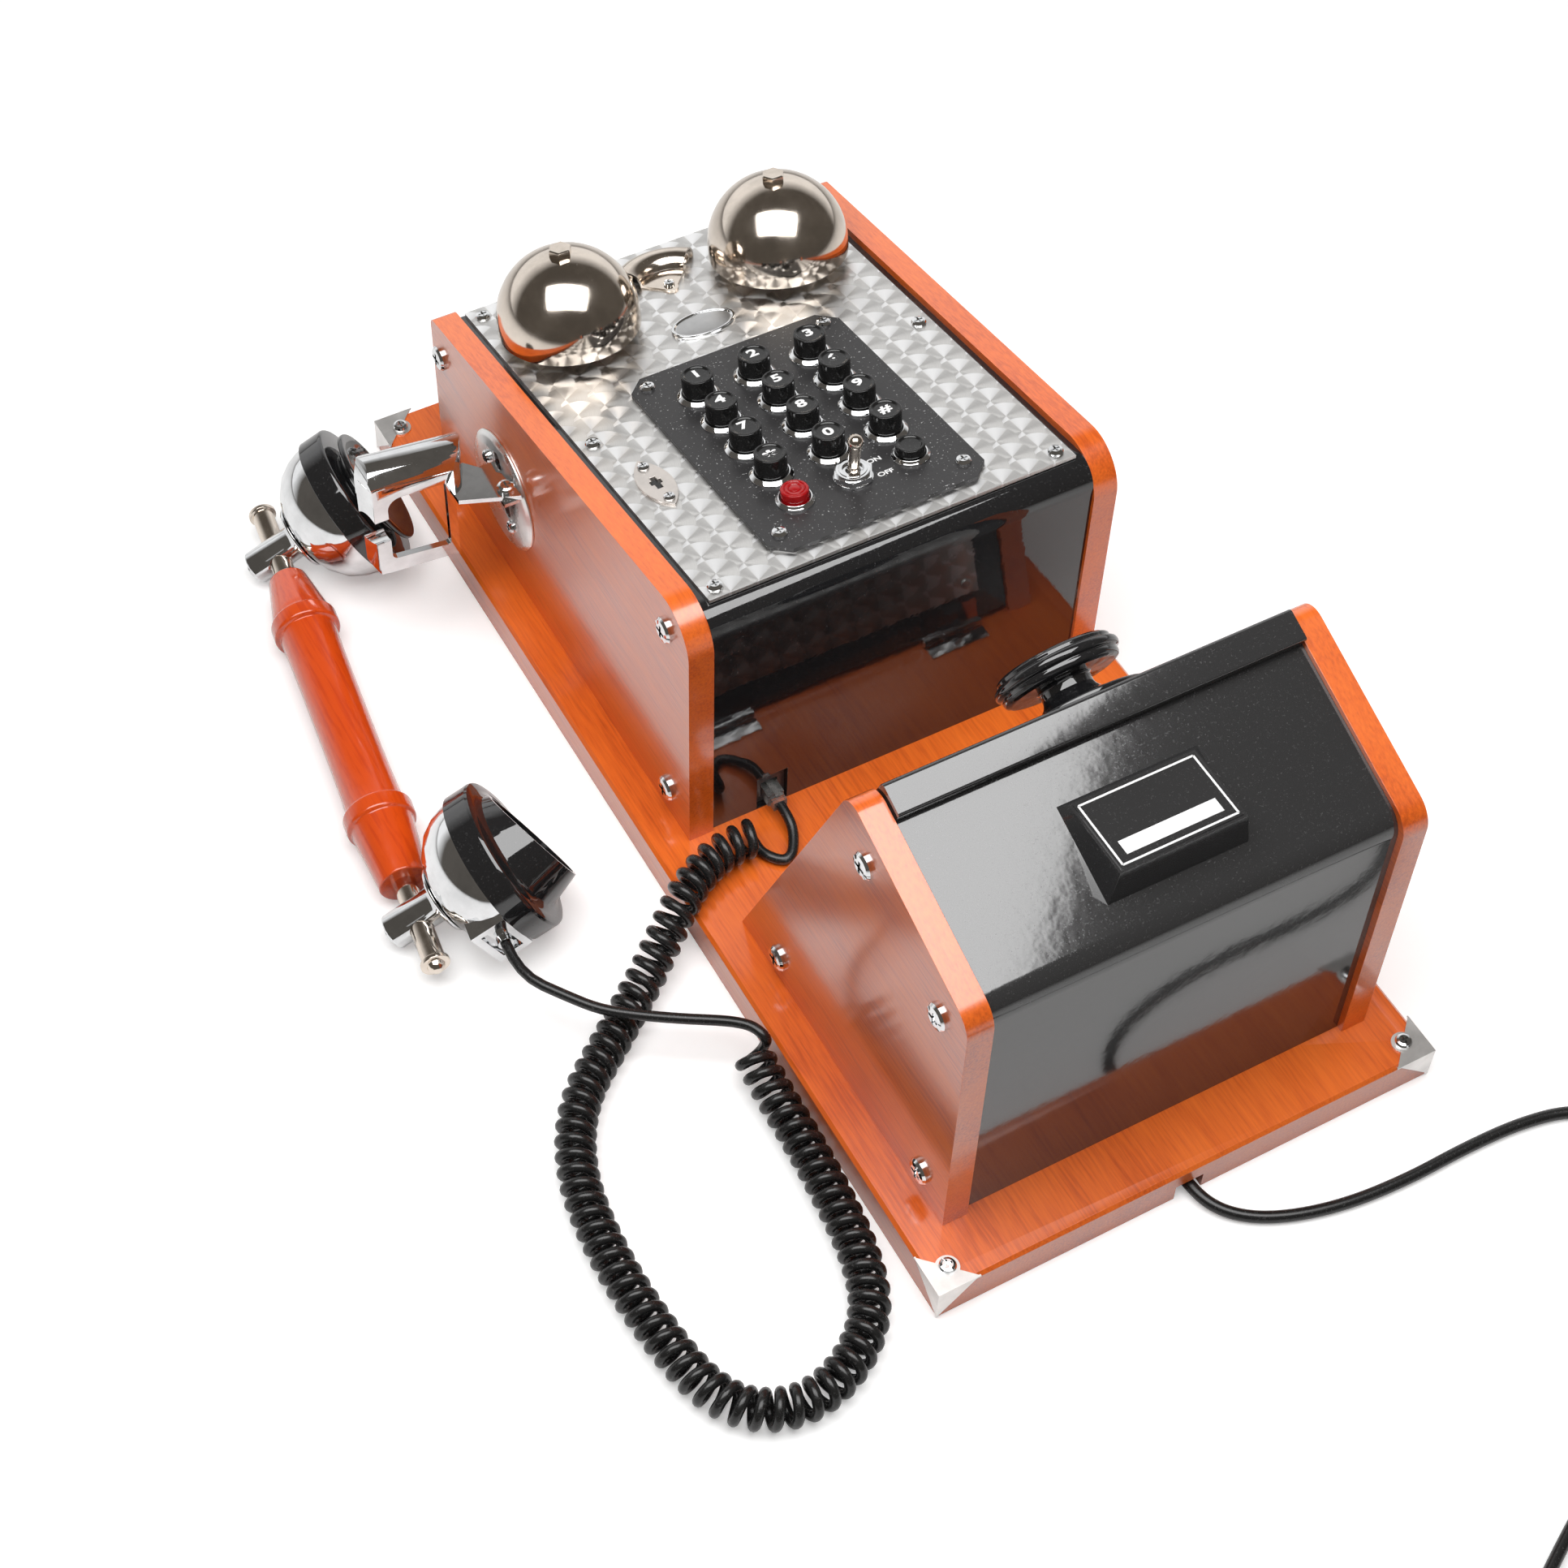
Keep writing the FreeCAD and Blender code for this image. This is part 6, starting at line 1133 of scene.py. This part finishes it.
@dataclass
class Handset:
    """The handset: handle, rod and ear cap turned, and the rest softened."""

    span: float = 220.0
    handle_start: float = 18.0
    handle_bore: float = 5.2
    mouth_bead: float = 54.7
    ear_bead: float = 170.7
    rod_radius: float = 5.1
    rod_overhang: float = 25.8
    ring_radius: float = 35.2
    ring_back: float = 39.0
    ring_front: float = 51.2
    neck_radius: float = 20.5
    plate_radius: float = 28.3
    plate_rise: float = 4.6

    def build(self, finishes: Finishes) -> None:
        """Make every piece of the handset."""
        stand_for(self._handle(finishes.handle), "handset_handle", Body.HANDSET)
        stand_for(self._rod(finishes.nickel), "handset_rod", Body.HANDSET)
        stand_for(self._ear_cap(finishes.gloss), "ear_cap", Body.HANDSET)
        merged_copy("handset_arms", finishes.chrome, 0.3, Body.HANDSET)
        merged_copy("handset_cups", finishes.chrome, 0.3, Body.HANDSET)
        merged_copy("mouth_cap", finishes.gloss, 0.4, Body.HANDSET)

    def _handle(self, finish: Material) -> Piece:
        """The turned handle, with a bead near each end and a long waist."""
        start, end = self.handle_start, self.span - self.handle_start
        mouth, ear = self.mouth_bead, self.ear_bead
        points = [
            (self.handle_bore, start, 0), (11.0, start, 0.8), (13.6, mouth - 9, 4), (14.0, mouth - 5, 0.6),
            (15.6, mouth - 4, 1.2), (15.8, mouth + 3.6, 1.4), (13.2, mouth + 4.2, 0.6), (12.6, mouth + 20, 15),
            (12.5, 112, 20), (12.7, 150, 15), (13.1, ear - 4.2, 0.6), (15.3, ear - 3.4, 1.4),
            (15.4, ear + 4, 1.2), (13.7, ear + 5, 0.6), (13.4, ear + 8, 2), (8.9, end, 1.2),
            (self.handle_bore, end, 0),
        ]
        return rounded_piece("turned_handle", points, rod_placing(), finish, 96, 8)

    def _rod(self, finish: Material) -> Piece:
        """The rod with a flanged acorn nut at each end."""
        low, high = -self.rod_overhang, self.span + self.rod_overhang
        half = [(0, 4.6, 0), (1.9, 4.3, 0.6), (3.4, 2.8, 0.8), (4.0, 0.9, 0.3), (6.4, 0.9, 0.3),
                (6.4, -1.1, 0.3), (self.rod_radius, -1.4, 0.2)]
        points = [(radius, low - up, soft) for radius, up, soft in half]
        points += [(radius, high + up, soft) for radius, up, soft in reversed(half)]
        return rounded_piece("turned_rod", points, rod_placing(), finish, 64)

    def _ear_cap(self, finish: Material) -> Piece:
        """The broad ring, the neck and the flared ear plate with its hollow front."""
        back, front, ring, neck = self.ring_back, self.ring_front, self.ring_radius, self.neck_radius
        plate, edge = front + self.plate_rise, self.plate_radius
        points = [
            (0, back + 3, 0), (ring - 3.4, back + 3, 0.2), (ring - 3.4, back, 0.2), (ring, back, 0.6),
            (ring, front, 1.8), (neck, front + 0.9, 1.2), (neck, plate - 0.8, 1.2), (edge, plate - 0.1, 1.0),
            (edge, plate + 2.3, 1.2), (edge - 3, plate + 2.3, 1.0), (12, plate + 1.2, 6), (0, plate + 0.8, 0),
        ]
        return rounded_piece("turned_ear_cap", points, handset_placing(self.span), finish, 128, 8)


@dataclass
class Trim:
    """The badge, the name plate and the lid's knob."""

    keyhole_across: float = -70.0
    keyhole_up: float = 90.5
    badge_up: float = 182.0
    badge_half_across: float = 15.4
    badge_half_up: float = 8.6
    badge_thick: float = 1.5
    plate_top: float = -2.0
    knob_across: float = 9.0
    knob_up: float = 34.0
    knob_base: float = 29.0
    knob_radius: float = 26.4
    knob_neck: float = 10.8
    name_top: float = 181.8
    name_middle: float = -202.25
    name_half_across: float = 26.6
    name_half_up: float = 16.35

    def build(self, finishes: Finishes) -> None:
        """Make the trim pieces."""
        self._badge(finishes.chrome, finishes.badge)
        self._knob(finishes.gloss)
        self._name_plate(finishes)
        # Painted shade: a thin black sheet on the keyhole plate stands in for the shade inside the keyhole.
        hole = FRONT.moved(self.keyhole_across, self.keyhole_up, self.plate_top)
        slab("keyhole_painted_shade", 3.4, 4.6, 0.12, hole, finishes.key)

    def _badge(self, rim: Material, face: Material) -> None:
        """A bare oval with a raised rim round a plain face."""
        low, top, across = self.plate_top, self.plate_top + self.badge_thick, self.badge_half_across
        spot = FRONT.moved(0, self.badge_up, 0).squashed(self.badge_half_up / across)
        points = [(across - 2.4, low, 0), (across, low, 0.1), (across, top, 0.5), (across - 1.5, top, 0.4),
                  (across - 2.0, top - 0.6, 0.2), (across - 2.4, top - 0.6, 0), (across - 2.4, low + 0.1, 0)]
        ring = rounded_piece("badge_rim", points, spot, rim, looped=True)
        inside = [(0, low, 0), (across - 2.2, low, 0), (across - 2.2, top - 0.55, 0.1), (0, top - 0.55, 0)]
        plain = rounded_piece("badge_face", inside, spot, face)
        for piece in (ring, plain):
            stand_for(piece, "badge")

    def _knob(self, finish: Material) -> None:
        """A flared foot, a neck and a ribbed disc."""
        foot, rim, neck = -0.5, self.knob_radius, self.knob_neck
        points = [
            (0, foot, 0), (self.knob_base, foot, 0.3), (self.knob_base, foot + 1.8, 0.8), (18, foot + 3.8, 3),
            (13, foot + 5.4, 2), (neck, foot + 8, 2), (neck, 12.6, 1.5), (rim - 4, 12.6, 1.0),
            (rim - 2.2, 13.4, 0.6), (rim - 1.6, 15, 0.8), (rim - 2, 16.4, 0.5), (rim - 0.4, 17, 0.5),
            (rim, 18.6, 0.8), (rim - 0.6, 20.2, 0.6), (rim - 2.4, 20.8, 0.4), (rim - 2.2, 22.4, 0.5),
            (rim - 4, 23.6, 0.8), (rim - 8, 24, 2), (0, 24, 0),
        ]
        spot = LID.moved(self.knob_across, self.knob_up, 0)
        stand_for(rounded_piece("turned_knob", points, spot, finish, 128), "lid_knob", Body.LID)

    def _name_plate(self, finishes: Finishes) -> None:
        """A pale border and a blank pale strip on the black plate."""
        middle = Placing((0.0, self.name_middle, self.name_top))
        wide, tall, line, thick = self.name_half_across - 1.4, self.name_half_up - 1.4, 0.45, 0.08
        paint = finishes.white
        for index, side in enumerate((-1, 1)):
            end, edge = middle.moved(side * wide, 0, 0), middle.moved(0, side * tall, 0)
            slab("name_border_end_%d" % index, line, tall, thick, end, paint)
            slab("name_border_side_%d" % index, wide, line, thick, edge, paint)
        slab("name_strip", wide - 4.0, 3.2, thick, middle.moved(0, -tall + 6.5, 0), paint)


def soften_cabinet(finishes: Finishes) -> None:
    """Softened copies of the wood, the black shells and the bright fittings."""
    wood, gloss, slope = finishes.wood, finishes.gloss, finishes.slope
    for node, finish, edge in (
            ("backboard", wood, 1.0), ("case_panels", wood, 1.1), ("box_panels", wood, 1.1),
            ("case_shell", gloss, 0.5), ("box_shell", slope, 0.5), ("name_block", slope, 0.5),
            ("corner_brackets", finishes.zinc, 0.3), ("rosette", finishes.silver, 0.3),
            ("keyhole_plate", finishes.satin, 0.25), ("striker_guard", finishes.nickel, 0.15)):
        merged_copy(node, finish, edge)
    merged_copy("box_lid", finishes.slope, 0.4, Body.LID)
    merged_copy("cradle", finishes.chrome, 0.4, Body.HOOK)
    dress("lid_plate", finishes.lid_steel)


def main() -> None:
    """Build the scene in order."""
    logging.basicConfig(level=logging.INFO, format="%(message)s")
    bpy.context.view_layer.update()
    Studio().build()
    finishes = Finishes()
    for entry in frame["record"]["subparts"]:
        dress(entry["node"], finishes.of_slot(entry["material_slot"]))
    soften_cabinet(finishes)
    Bells().build(finishes.nickel)
    Keypad().build(finishes)
    Handset().build(finishes)
    Trim().build(finishes)
    HandsetCord().build(finishes.cord)
    LineCord().build(finishes.cord, finishes.pad)


if __name__ == "__main__":
    main()
